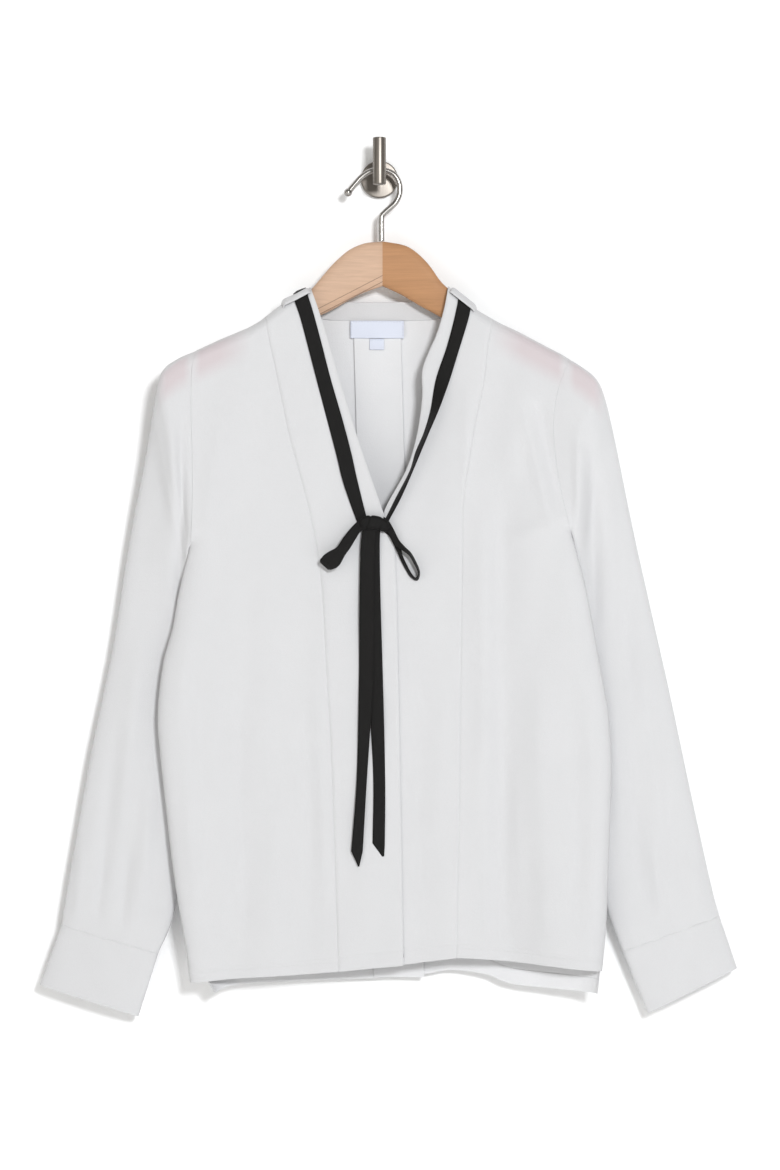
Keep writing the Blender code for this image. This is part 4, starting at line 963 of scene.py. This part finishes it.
def loft(name, rings, finish, replaced, sharp=None):
    """A closed body through rings of points, with a fan over each end."""
    along, sides = rings.shape[:2]
    i, j = np.meshgrid(np.arange(along - 1), np.arange(sides), indexing="ij")
    k = (j + 1) % sides
    low, high = i * sides, (i + 1) * sides
    quads = np.stack([low + j, low + k, high + k, high + j], -1).reshape(-1, 4)
    ring = np.arange(sides)
    after = (ring + 1) % sides
    top = (along - 1) * sides
    first_fan = np.stack([np.full(sides, along * sides), after, ring], 1)
    last_fan = np.stack([np.full(sides, along * sides + 1), top + ring, top + after], 1)
    points = np.concatenate([rings.reshape(-1, 3), rings[0].mean(0)[None], rings[-1].mean(0)[None]])
    mesh = shell_mesh(name, points, quads.tolist() + first_fan.tolist() + last_fan.tolist())
    if sharp:
        mesh.set_sharp_from_angle(angle=math.radians(sharp))
    return put(name, mesh, finish_of(finish), replaced)


def panel_grid(inner, outer, top, hem, across):
    """The (x, z) of a panel between four seams, with close rows at the shoulder and at the hem's line."""
    n = sizes().fineness
    down = np.concatenate([steps(FRONT_DOWN, n)[:-1], HEM_ROWS])
    xz = fill(inner, outer, top, hem, steps(across, n), down)
    xz[:, 0, 1] = shoulder_z(xz[:, 0, 0])
    return xz, down


def hem_step(down):
    """How far the doubled cloth of a hem stands out, from just above its line to the edge."""
    return np.interp(down, HEM_STEP_AT, (0.0, HEM_STEP))


def front_grid(armhole, side, band_seam, hem):
    """One front from its band seam to its armhole and side."""
    top = shoulder_edge(band_seam[0][0], armhole[0][0])
    xz, down = panel_grid(band_seam, armhole + side[1:], top, hem, FRONT_ACROSS)
    x, z = xz[..., 0], xz[..., 1]
    return np.stack([x, front_at(x, z) - hem_step(down), z], -1)


def band_grid(edge, seam, lift):
    """A band that stands off the front by a lift which ends at its seam, doubled at its folded edge."""
    top, hem = shoulder_edge(edge[0][0], seam[0][0]), [edge[-1], seam[-1]]
    xz = panel_grid(edge, seam, top, hem, BAND_ACROSS)[0]
    x, z = xz[..., 0], xz[..., 1]
    u = steps(BAND_ACROSS, sizes().fineness)[:, None]
    depth = shoulder_z(x) - z
    stand = BAND_STAND * quarter_round(np.minimum(u, 1 - u) / 0.10) * np.clip(depth / 0.02, 0, 1)
    lift = lift * np.clip(depth / 0.03, 0, 1)
    y = front_at(x, z) - lift * (1 - u) ** LIFT_FALL - stand
    return np.stack([x, y, z], -1)


def neck_grid():
    """The back neck band, lying on the back's plane."""
    n = sizes().fineness
    xz = fill(NECK_SEAM, NECK_EDGE, [NECK_SEAM[0], NECK_EDGE[0]], [NECK_SEAM[-1], NECK_EDGE[-1]],
              steps([0, 0.3, 0.65, 1], n), steps(NECK_ALONG, n))
    for end in (0, -1):
        xz[:, end, 1] = shoulder_z(xz[:, end, 0])
    x, z = xz[..., 0], xz[..., 1]
    return np.stack([x, back_y(x, z) + 0.0002 * np.sin(x * 210), z], -1)


def half_turn(x, lift, way):
    """Points round a fold that starts at a lift and ends one layer further forward."""
    angle = np.linspace(0, math.pi, 9)[1:-1]
    return [(x + way * LAYER / 2 * math.sin(a), lift + LAYER / 2 * (1 - math.cos(a))) for a in angle]


def pleat_path(half):
    """Offset from the pleat's middle and lift forward, through both halves of an inverted pleat."""
    near, far = PLEAT_PARTING + LAYER / 2, half - LAYER / 2
    fold = [(-near, 0), *half_turn(-near, 0, 1)]
    fold += [(-near - (far - near) * t, LAYER) for t in (0, 0.2, 0.4, 0.6, 0.8, 1)]
    fold += [*half_turn(-far, LAYER, -1)] + [(-far * t, 2 * LAYER) for t in (1, 0.8, 0.6, 0.4, 0.2)]
    return fold + [(0, 2 * LAYER)] + [(-x, lift) for x, lift in reversed(fold)]


def back_grid():
    """The back: two halves that run into the pleat's folds, each column on its own line from neck to hem."""
    n = sizes().fineness
    edges = [np.vstack([smooth(top, 90), smooth(low, 140)[1:]])
             for top, low in ((RIGHT_ARMHOLE, BACK_RIGHT_SIDE), (LEFT_ARMHOLE, BACK_LEFT_SIDE))]
    pleat, neck, hem = np.array(PLEAT), smooth(NECK_SEAM, 90), smooth(BACK_HEM, 120)
    down = np.concatenate([steps(BACK_DOWN, n)[:-1], HEM_ROWS])

    def pleat_at(z, column):
        return np.interp(-z, -pleat[:, 0], pleat[:, column])

    def top_z(x):
        seam_z = np.interp(x, neck[:, 0], neck[:, 1]) - NECK_DROP * (x / neck[0, 0]) ** 4
        return np.where((x > neck[0, 0]) & (x < neck[-1, 0]), seam_z, shoulder_z(x))

    def line(x_top, x_hem):
        low = np.interp(x_hem, hem[:, 0], hem[:, 1])
        return top_z(x_top) + (low - top_z(x_top)) * down

    halves = []
    for edge, sign in zip(edges, (1, -1)):
        half = []
        for share in steps(BACK_ACROSS, n)[:-1]:
            z = line(*(edge[k, 0] + (pleat[k, 1] - edge[k, 0]) * share for k in (0, -1)))
            start = np.interp(-z, -edge[:, 1], edge[:, 0])
            x = start + (pleat_at(z, 1) - sign * (PLEAT_PARTING + LAYER / 2) - start) * share
            z[0] = top_z(x[0])
            half.append(np.stack([x, back_at(x, z), z], 1))
        halves.append(half)
    z = line(pleat[0, 1], pleat[-1, 1])
    paths = np.array([pleat_path(h) for h in pleat_at(z, 2)])
    middle = []
    for k in range(paths.shape[1]):
        x = pleat_at(z, 1) + paths[:, k, 0]
        middle.append(np.stack([x, back_at(x, z) - paths[:, k, 1], z], 1))
    return np.array(halves[0] + middle + halves[1][::-1])


def sleeve_bulge(angle, step):
    """Depth round a section, from -1 to 1: fuller at its outer end where it lies over the hanger's tip."""
    near_shoulder = np.clip(1 - step / SHOULDER_STEPS, 0, 1) * (np.cos(angle) > 0)
    full = SLEEVE_FULL + (SHOULDER_FULL - SLEEVE_FULL) * near_shoulder
    return fuller(np.sin(angle), full)


def round_sleeve():
    """Angles round a sleeve, and each one's share of the way from the outer to the inner end."""
    angle = 2 * math.pi * np.arange(SLEEVE_ROUND) / SLEEVE_ROUND
    return angle, ((1 - np.cos(angle)) / 2)[:, None]


def sleeve_grid(table, armhole, sign, creases):
    """Rings from the armhole to the cuff's seam: in front from the outer to the inner end, and back behind.

    A point's share of the way follows a cosine, and it lies off that line by the bulge, creases and gathers.
    """
    per_row = 12
    rows = by_row(table, per_row)
    seam = smooth(armhole, FINE)
    angle, share = round_sleeve()
    step = np.arange(len(rows))[None] * 2 / per_row
    bulge = sleeve_bulge(angle[:, None], step)
    ox, oz, ix, iz, oy, iy, half = (rows[:, c][None] for c in range(7))
    first_x = np.interp(share * (FINE - 1), np.arange(FINE), seam[:, 0]) + sign * SLEEVE_SEAM
    first_z = np.interp(share * (FINE - 1), np.arange(FINE), seam[:, 1])
    in_front = np.sin(angle)[:, None] >= 0
    first_y = np.where(in_front, front_at(first_x, first_z) + SLEEVE_UNDER,
                       back_at(first_x, first_z) - SLEEVE_UNDER)
    hold = np.clip(1 - step / ARMHOLE_HOLD, 0, 1) ** 2
    x = ox + (ix - ox) * share
    z = oz + (iz - oz) * share
    y = oy + (iy - oy) * share - half * bulge
    top = table[0]
    x = x + hold * (first_x - top[0] - (top[2] - top[0]) * share)
    z = z + hold * (first_z - top[1] - (top[3] - top[1]) * share)
    y = y + hold * (first_y - (SIDE_Y - top[6] * bulge))
    calm = np.clip(step / 3, 0, 1) * np.abs(np.sin(angle))[:, None] ** 0.6
    puckers = np.sin(angle * 11 + np.sin(angle * 3))[:, None]
    gathers = GATHER * np.clip((step - GATHERS_FROM) / GATHERS_RISE, 0, 1) ** 2 * puckers
    front = soft(creases, x, z) + ripple(x, z)
    back = soft([(sign * a, b, sign * c, d, e, f) for a, b, c, d, e, f in SLEEVE_BACK_CREASES], x, z)
    calm_cuff = np.clip((step[:, -1:] - step) / 1.5, 0, 1)
    y = y - calm * np.where(in_front, calm_cuff * front + gathers,
                            -calm_cuff * (back + ripple(x + 0.2, z)) - gathers)
    return np.stack([x, y, z], -1)[::sign]


def cuff_grid(start, end, sign):
    """A plain cuff: a short tube from just over the sleeve's last ring, doubled and so a little fuller."""
    angle, share = round_sleeve()
    bulge = sleeve_bulge(angle, SHOULDER_STEPS)[:, None]
    t = np.linspace(-0.01, 1, 27)[None]
    ox, oz, ix, iz = (start[k] + (end[k] - start[k]) * t for k in range(4))
    half = CUFF_HALF_DEPTH + 0.0003 * quarter_round(np.minimum(t, 1 - t) / 0.06)
    x, z = ox + (ix - ox) * share, oz + (iz - oz) * share
    dent = 0.0006 * np.sin(x * 120 + z * 40) * np.sin(math.pi * t) * np.abs(bulge)
    return np.stack([x, start[5] - half * bulge - dent, z], -1)[::sign]


def lines_along(points, edges, outward):
    """Lines of topstitching along a grid's edges: each edge is a side's name and how far in the line runs."""
    made = []
    for edge, inset in edges:
        path, normal = inset_path(points, edge, inset)
        made.append((path, normal, outward))
    return made


def ring_line(points, row):
    """A line of topstitching round a tube, whose way out is away from the ring's middle."""
    path = points[:, row]
    way = np.roll(path, -1, 0) - np.roll(path, 1, 0)
    down = points[:, row] - points[:, row - 1]
    middle = path.mean(0)[None] + (path - path.mean(0)) * (0.9, 0.0, 0.9)
    out = np.cross(way, down)
    out *= np.sign((out * (path - middle)).sum(1))[:, None]
    return path, out, (0, 0, 0)


def carrier_grid(feet):
    """A carrier: a straight strip between its feet that arches off the cloth and over the ribbon."""
    first, last = np.array(feet[:2]), np.array(feet[2:])
    t = np.linspace(0, 1, 49)
    arch = quarter_round(CARRIER_STEEP * np.minimum(t, 1 - t))
    off = CARRIER_FOOT + (CARRIER_OVER - CARRIER_FOOT) * arch
    along = last - first
    across = np.array([along[1], -along[0]]) / np.linalg.norm(along)
    columns = []
    for side in np.linspace(-0.5, 0.5, 7):
        xz = first + along * t[:, None] + across * side * CARRIER_WIDTH
        columns.append(lay(xz[:, 0], xz[:, 1], np.full(len(t), -1), off + 0.0003 * math.cos(side * math.pi)))
    return np.array(columns)


class BuildFronts(Operator):
    """Builds both fronts, their wide bands and the carriers over the ribbon"""

    bl_idname = "blouse.fronts"
    bl_label = "Fronts and bands"

    def execute(self, context):
        for name, armhole, side, seam, hem, flat in (
                ("right_front", RIGHT_ARMHOLE, RIGHT_SIDE, RIGHT_BAND_SEAM, RIGHT_HEM, (0.175, 0.66)),
                ("left_front", LEFT_ARMHOLE, LEFT_SIDE, LEFT_BAND_SEAM, LEFT_HEM, (0.165, 0.64))):
            points = front_grid(armhole, side, seam, hem)
            wood = over_wood(points[..., 0], points[..., 2])
            piece = cloth_piece(name + "_cloth", points, name, wood=wood)
            thread = topstitches(name + "_stitches", lines_along(points, [("hem", sizes().hem)], FRONT_OUT))
        for side, edge, seam, lift, feet in (
                ("right", RIGHT_BAND_EDGE, RIGHT_BAND_SEAM, LAP_LIFT, RIGHT_CARRIER),
                ("left", LEFT_BAND_EDGE, LEFT_BAND_SEAM, 0.0, LEFT_CARRIER)):
            points = band_grid(edge, seam, lift)
            piece = cloth_piece(side + "_band_cloth", points, side + "_band", sizes().cloth * DOUBLED)
            edges = [("last", 0.0022), ("first", 0.0022), ("hem", 0.004)]
            thread = topstitches(side + "_band_stitches", lines_along(points, edges, FRONT_OUT))
            loop = cloth_piece("ribbon_carrier_" + side, carrier_grid(feet), "carrier_" + side)
        return {"FINISHED"}


class BuildBack(Operator):
    """Builds the back with its inverted pleat, and the neck band"""

    bl_idname = "blouse.back"
    bl_label = "Back and neck band"

    def execute(self, context):
        points = back_grid()
        wood = over_wood(points[..., 0], points[..., 2])
        piece = cloth_piece("back_cloth", points, "back", finish="lit crepe", wood=wood)
        thread = topstitches("back_stitches", lines_along(points, [("hem", sizes().hem)], BACK_OUT))
        points = neck_grid()
        piece = cloth_piece("neck_band_cloth", points, "neck_band", sizes().cloth * DOUBLED)
        edges = [("first", 0.002), ("last", 0.002)]
        thread = topstitches("neck_band_stitches", lines_along(points, edges, FRONT_OUT))
        return {"FINISHED"}


class BuildSleeves(Operator):
    """Builds the sleeves and their cuffs"""

    bl_idname = "blouse.sleeves"
    bl_label = "Sleeves and cuffs"

    def execute(self, context):
        for side, table, armhole, sign, creases, end in (
                ("right", RIGHT_SLEEVE, RIGHT_ARMHOLE, -1, RIGHT_SLEEVE_CREASES, RIGHT_CUFF_END),
                ("left", LEFT_SLEEVE, LEFT_ARMHOLE, 1, LEFT_SLEEVE_CREASES, LEFT_CUFF_END)):
            points = sleeve_grid(table, armhole, sign, creases)
            wood = over_wood(points[..., 0], points[..., 2])
            sleeve = cloth_piece(side + "_sleeve_cloth", points, side + "_sleeve", tube=True, wood=wood)
            points = cuff_grid(table[-1], end, sign)
            thickness = sizes().cloth * DOUBLED
            cuff = cloth_piece(side + "_cuff_cloth", points, side + "_cuff", thickness, tube=True)
            rows = [ring_line(points, 2), ring_line(points, points.shape[1] - 3)]
            thread = topstitches(side + "_cuff_stitches", rows)
        return {"FINISHED"}


def ribbon_piece(name, points, node):
    """A strip of ribbon as a finished piece that stands for a CAD node."""
    piece = cloth_piece(name, points, node, sizes().ribbon, finish="black ribbon")


def tie_neck_grid():
    """The ribbon from the bow round the neck and back, laid off the cloth between the path's two edges."""
    outer_x, outer_z, inner_x, inner_z, face, stand = by_row(RIBBON_PATH, 10).T
    face = np.round(face, 3)
    columns = []
    for t in np.linspace(0, 1, 9):
        x, z = outer_x + (inner_x - outer_x) * t, outer_z + (inner_z - outer_z) * t
        on_lap = (x < 0) * (face < 0) * np.clip((shoulder_z(x) - z) / 0.03, 0, 1)
        point = lay(x, z, face, RIBBON_OFF + RIBBON_ON_LAP * on_lap + 0.0004 * math.sin(math.pi * t))
        point[:, 1] -= stand * (1 - t)
        columns.append(point)
    return np.array(columns)


def strip_between(first, second):
    """A strip of ribbon from one edge curve to the other, a little fuller in its middle."""
    share = np.linspace(0, 1, 7)[:, None, None]
    points = first + (second - first) * share
    points[..., 1] -= 0.0005 * np.sin(math.pi * share[..., 0])
    return points


def folded_loop():
    """The right loop leaves the knot in front, turns over at its rounded end and comes back behind itself."""
    rows = by_row(RIGHT_LOOP, 8)
    edges, out = (rows[:, 0:2], rows[:, 2:4]), rows[:, 4]
    middle = (rows[:, 0:2] + rows[:, 2:4]) / 2
    along = (middle[-1] - middle[-2]) / np.linalg.norm(middle[-1] - middle[-2])
    turn = np.linspace(0, math.pi, 19)[1:-1]
    columns = []
    for edge in edges:
        behind = front_y(edge[:, 0], edge[:, 1]) - LOOP_BEHIND
        front = np.column_stack([edge[:, 0], behind - 2 * out, edge[:, 1]])
        back = np.column_stack([edge[:, 0], behind, edge[:, 1]])
        drawn_in = edge[-1] + (middle[-1] - edge[-1]) * 0.35 * np.sin(turn)[:, None] ** 2
        xz = drawn_in + along * (out[-1] * LOOP_END * 2 * np.sin(turn))[:, None]
        round_end = np.column_stack([xz[:, 0], behind[-1] - out[-1] * (1 + np.cos(turn)), xz[:, 1]])
        columns.append(np.vstack([front, round_end, back[::-1]]))
    return strip_between(*columns)


def open_loop():
    """The left loop stands on edge, so that the cloth shows through it."""
    rows = by_row(LEFT_LOOP, 8)
    edges = []
    for x, z, off in ((rows[:, 0], rows[:, 1], rows[:, 4]), (rows[:, 2], rows[:, 3], rows[:, 5])):
        edges.append(np.column_stack([x, front_y(x, z) - off, z]))
    return strip_between(*edges)


def tail_grid(table):
    """A tail down the front; its last step is a straight slanted cut to a point."""
    rows = by_row(table[:-1], 14)
    cut = rows[-1] + (np.array(table[-1]) - rows[-1]) * np.linspace(0, 1, 9)[1:, None]
    left_x, left_z, right_x, right_z, lift = np.vstack([rows, cut]).T
    t = np.linspace(0, 1, 9)[:, None]
    x, z = left_x + (right_x - left_x) * t, left_z + (right_z - left_z) * t
    wave = 0.0007 * np.sin(z * 70) + 0.0004 * np.sin(math.pi * t)
    return np.stack([x, front_y(x, z) - TAIL_OFF - lift - wave, z], -1)


def knot_rings():
    """The knot: an arched pillow across the bow, with a groove where the ribbon wraps over itself."""
    across = np.linspace(-1, 1, 61)[:, None]
    angle = np.linspace(0, 2 * math.pi, 56, endpoint=False)[None]
    full = np.sqrt(np.clip(1 - np.abs(across) ** 4, 0.02, 1))
    groove = 1 - 0.13 * np.exp(-(((across + 0.38 - 0.16 * np.cos(angle)) / 0.07) ** 2))
    groove = groove - 0.07 * np.exp(-(((across - 0.42 - 0.12 * np.cos(angle)) / 0.08) ** 2))
    wide, deep, high = np.array(KNOT_SIZE) / 2
    y = deep * full * groove * fuller(np.sin(angle), 0.8)
    z = high * full * groove * fuller(np.cos(angle), 0.75)
    arch = -0.0034 * (across + 0.25) ** 2
    return np.stack([across * wide + 0 * angle, y, z + arch], -1) + np.array(KNOT_CENTRE)


class BuildTie(Operator):
    """Builds the ribbon round the neck, its bow and its tails"""

    bl_idname = "blouse.tie"
    bl_label = "Ribbon tie"

    def execute(self, context):
        ribbon_piece("neck_ribbon", tie_neck_grid(), "tie_neck")
        knot = loft("bow_knot", knot_rings(), "black ribbon", ["tie_knot"])
        for side, loop, loop_length, table in (
                ("right", folded_loop(), 0.125, RIGHT_TAIL), ("left", open_loop(), 0.102, LEFT_TAIL)):
            ribbon_piece("bow_loop_" + side, loop, "tie_loop_" + side)
            ribbon_piece("bow_tail_" + side, tail_grid(table), "tie_tail_" + side)
        return {"FINISHED"}


def label_grid(size):
    """A label one layer off the back's pleat; it curls a little off the cloth towards its lower edge."""
    left, right, top, bottom = size
    x, z = np.meshgrid(np.linspace(left, right, 41), np.linspace(top, bottom, 17), indexing="ij")
    curl = 0.0006 * np.clip((top - z) / (top - bottom), 0, 1) ** 2 * (1 + np.cos(x * 130))
    return np.stack([x, back_at(x, z) - 3 * LAYER - curl, z], -1)


class BuildTrim(Operator):
    """Builds the neck label and the size tag"""

    bl_idname = "blouse.trim"
    bl_label = "Labels"

    def execute(self, context):
        for name, size, sewn in (
                ("label", LABEL, ("top", "first", "last")), ("size_tag", SIZE_TAG, ("top",))):
            points = label_grid(size)
            piece = cloth_piece(name + "_tape", points, name, thickness=sizes().ribbon * 0.8,
                                finish="label tape")
            edges = [(edge, 0.0012) for edge in sewn]
            lines = lines_along(points, edges, FRONT_OUT)
            thread = topstitches(name + "_stitches", lines, "label tape")
        return {"FINISHED"}


def arm_rings(table):
    """Rounded sections of a hanger arm, from the middle joint to its tip, which closes in a rounded end."""
    rows = np.array([(x, float(shoulder_z(x)) - WOOD_UNDER_CLOTH if top is None else top, bottom)
                     for x, top, bottom in table])
    x, top, bottom = by_row(rows, 8).T
    angle = 2 * math.pi * (np.arange(64) + 0.5) / 64
    round_y, round_z = fuller(np.cos(angle), WOOD_SQUARE), fuller(np.sin(angle), WOOD_SQUARE)
    thin = 1 - WOOD_TIP_THINNING * (np.abs(x) / abs(table[-1][0])) ** 6
    close = quarter_round((np.abs(table[-1][0]) - np.abs(x)) / 0.004 + 0.25)
    half_y = WOOD_THICKNESS / 2 * thin * close
    half_z = (top - bottom) / 2 * (0.6 + 0.4 * close)
    y = hanger_y(x)[:, None] + half_y[:, None] * round_y
    z = ((top + bottom) / 2)[:, None] + half_z[:, None] * round_z
    return np.stack([np.repeat(x[:, None], 64, 1), y, z], -1)


def tube_rings(path, radii, sides=28):
    """Circles along a path in the hanger's plane; each stands square to the path's way there."""
    way = np.gradient(path, axis=0)
    way /= np.linalg.norm(way, axis=1)[:, None]
    angle = np.linspace(0, 2 * math.pi, sides, endpoint=False)
    flat = np.array([way[:, 1], -way[:, 0]]).T
    x = path[:, 0, None] + flat[:, 0, None] * radii[:, None] * np.cos(angle)
    z = path[:, 1, None] + flat[:, 1, None] * radii[:, None] * np.cos(angle)
    y = HANGER_Y + radii[:, None] * np.sin(angle)
    return np.stack([x, np.broadcast_to(y, x.shape), z], -1)


def hook_rings():
    """The bent wire, with a ball at its tip that ends as a half circle does."""
    path = smooth(HOOK_PATH, 220)
    end = (path[-1] - path[-2]) / np.linalg.norm(path[-1] - path[-2])
    turn = np.linspace(math.radians(50), math.radians(172), 22)
    ball = WIRE_RADIUS * HOOK_BALL_SHARE
    out = ball * (math.cos(turn[0]) - np.cos(turn))
    full = np.vstack([path, path[-1] + end * out[:, None]])
    radii = np.concatenate([np.full(len(path), WIRE_RADIUS), ball * np.sin(turn)])
    return tube_rings(full, radii)


def turned_rings(profile, sides, axis):
    """Circles for a turned piece: radius and distance along +Y (a plate or post) or +Z (a peg)."""
    radius, along = np.array(profile).T
    angle = np.linspace(0, 2 * math.pi, sides, endpoint=False)
    a, b = radius[:, None] * np.cos(angle), radius[:, None] * np.sin(angle)
    reach = np.repeat(along[:, None], sides, 1)
    return np.stack([a, reach, b] if axis == "Y" else [a, b, reach], -1)


def rounded_ends(radius, start, end, edge, count=7):
    """Profile of a bar with softly rounded edges: radius, then distance along."""
    turn = np.linspace(0, math.pi / 2, count)
    low = [(radius - edge + edge * math.sin(a), start + edge - edge * math.cos(a)) for a in turn]
    high = [(radius - edge + edge * math.sin(a), end - edge + edge * math.cos(a)) for a in turn[::-1]]
    return low + high


class BuildHanger(Operator):
    """Builds the two wooden arms and the wire hook of the hanger"""

    bl_idname = "blouse.hanger"
    bl_label = "Hanger"

    def execute(self, context):
        # The right arm takes the lit copy of the wood, and the left arm takes the copy with painted shade.
        loft("wood_arm_right", arm_rings(RIGHT_ARM), "lit wood", ["hanger_arm_right"], 40)
        loft("wood_arm_left", arm_rings(LEFT_ARM), "shaded wood", ["hanger_arm_left"], 40)
        loft("wire_hook", hook_rings(), "polished wire", ["hanger_hook"])
        return {"FINISHED"}


class BuildWallHook(Operator):
    """Builds the turned base and the upright peg of the wall hook"""

    bl_idname = "blouse.wall_hook"
    bl_label = "Wall hook"

    def execute(self, context):
        plate = rounded_ends(PLATE_RADIUS, -PLATE_THICKNESS, 0.0, PLATE_EDGE)
        loft("hook_base", turned_rings(plate, 96, "Y"), "brushed nickel", ["wall_plate"])
        peg = rounded_ends(PEG_RADIUS, PEG_BOTTOM_Z, PEG_TOP_Z, PEG_EDGE)
        rings = turned_rings(peg, 64, "Z")
        rings[..., 1] += PEG_Y
        loft("hook_peg", rings, "brushed nickel", ["wall_peg"])
        post = [(POST_RADIUS, PEG_Y + 0.001)]
        post += [(POST_RADIUS * share, -PLATE_THICKNESS - off) for share, off in POST_FLARE]
        loft("hook_post", turned_rings(post, 48, "Y"), "brushed nickel", [])
        return {"FINISHED"}


class MakeFinishes(Operator):
    """Makes the materials of every piece"""

    bl_idname = "blouse.finishes"
    bl_label = "Materials"

    def execute(self, context):
        look = colours()
        crepe_material("white crepe")
        crepe_material("lit crepe", lift=1.16)
        ribbon_material()
        label_material()
        # The right arm's colour is the wood as lit, and the left arm's darker colour is painted shade.
        # cut=True paints two dark lines of shade along the right arm's lower bevel.
        wood_material("lit wood", look.wood_lit, slope=28, cut=True)
        wood_material("shaded wood", look.wood_shaded, slope=-28)
        metal_material("polished wire", look.wire, roughness=0.22, brush=0.1)
        metal_material("brushed nickel", look.nickel, roughness=0.38, brush=1.0)
        wall_material()
        return {"FINISHED"}


def stage_plane(name, corners, finish):
    """One flat face of the stage."""
    mesh = bpy.data.meshes.new(name)
    mesh.from_pydata(corners, [], [(0, 1, 2, 3)])
    mesh.materials.append(finish)
    made = bpy.data.objects.new(name, mesh)
    bpy.context.scene.collection.objects.link(made)


class BuildStage(Operator):
    """Sets the wall, the floor, the light and the camera"""

    bl_idname = "blouse.stage"
    bl_label = "Wall, light and camera"

    def execute(self, context):
        paint = finish_of("backdrop paint")
        near = [(-STAGE_REACH, -STAGE_REACH, FLOOR_Z), (STAGE_REACH, -STAGE_REACH, FLOOR_Z)]
        far = [(-STAGE_REACH, BACKDROP_Y, FLOOR_Z), (STAGE_REACH, BACKDROP_Y, FLOOR_Z)]
        high = [(STAGE_REACH, BACKDROP_Y, STAGE_TOP), (-STAGE_REACH, BACKDROP_Y, STAGE_TOP)]
        stage_plane("backdrop", far + high, paint)
        stage_plane("floor", near + far[::-1], paint)
        for name, place, size, watts, tone in LIGHTS:
            lamp = bpy.data.lights.new(name, "AREA")
            lamp.size = size
            lamp.energy = watts
            lamp.color = tone
            light = bpy.data.objects.new(name, lamp)
            light.location = place
            light.rotation_euler = (Vector(LOOK_AT) - light.location).to_track_quat("-Z", "Y").to_euler()
            context.scene.collection.objects.link(light)
        world = bpy.data.worlds.new("room")
        world.use_nodes = True
        room = world.node_tree.nodes["Background"]
        room.inputs["Color"].default_value = rgba(ROOM_COLOUR)
        room.inputs["Strength"].default_value = ROOM_STRENGTH
        context.scene.world = world
        context.scene.view_settings.view_transform = "Standard"
        lens = bpy.data.cameras.new("camera")
        lens.sensor_fit = "VERTICAL"
        lens.sensor_height = SENSOR
        lens.lens = SENSOR * -CAMERA_AT[1] / FRAME_HEIGHT
        lens.clip_start = 0.01
        camera = bpy.data.objects.new("camera", lens)
        camera.location = CAMERA_AT
        camera.rotation_euler = (math.radians(90), 0, 0)
        context.scene.collection.objects.link(camera)
        context.scene.camera = camera
        return {"FINISHED"}


class BlousePanel(Panel):
    """Lists the steps that build the blouse"""

    bl_idname = "VIEW3D_PT_blouse"
    bl_label = "Tie neck blouse"
    bl_space_type = "VIEW_3D"
    bl_region_type = "UI"
    bl_category = "Blouse"

    def draw(self, context):
        scene = context.scene
        for step in STEPS:
            self.layout.operator(step.bl_idname)
        for values in (scene.blouse_sizes, scene.blouse_colours):
            box = self.layout.box()
            for name in values.bl_rna.properties.keys():
                if name not in ("rna_type", "name"):
                    box.prop(values, name)


STEPS = (MakeFinishes, BuildFronts, BuildBack, BuildSleeves, BuildTie, BuildTrim, BuildHanger, BuildWallHook,
         BuildStage)
CLASSES = (BlouseSizes, BlouseColours, *STEPS, BlousePanel)


def register():
    """Registers the add-on's classes and its properties."""
    for kind in CLASSES:
        bpy.utils.register_class(kind)
    bpy.types.Scene.blouse_sizes = PointerProperty(type=BlouseSizes)
    bpy.types.Scene.blouse_colours = PointerProperty(type=BlouseColours)


def unregister():
    """Takes back what register() does."""
    del bpy.types.Scene.blouse_colours
    del bpy.types.Scene.blouse_sizes
    for kind in reversed(CLASSES):
        bpy.utils.unregister_class(kind)


def main():
    """Builds everything in order."""
    register()
    bpy.ops.blouse.finishes()
    bpy.ops.blouse.fronts()
    bpy.ops.blouse.back()
    bpy.ops.blouse.sleeves()
    bpy.ops.blouse.tie()
    bpy.ops.blouse.trim()
    bpy.ops.blouse.hanger()
    bpy.ops.blouse.wall_hook()
    bpy.ops.blouse.stage()


if __name__ == "__main__":
    main()
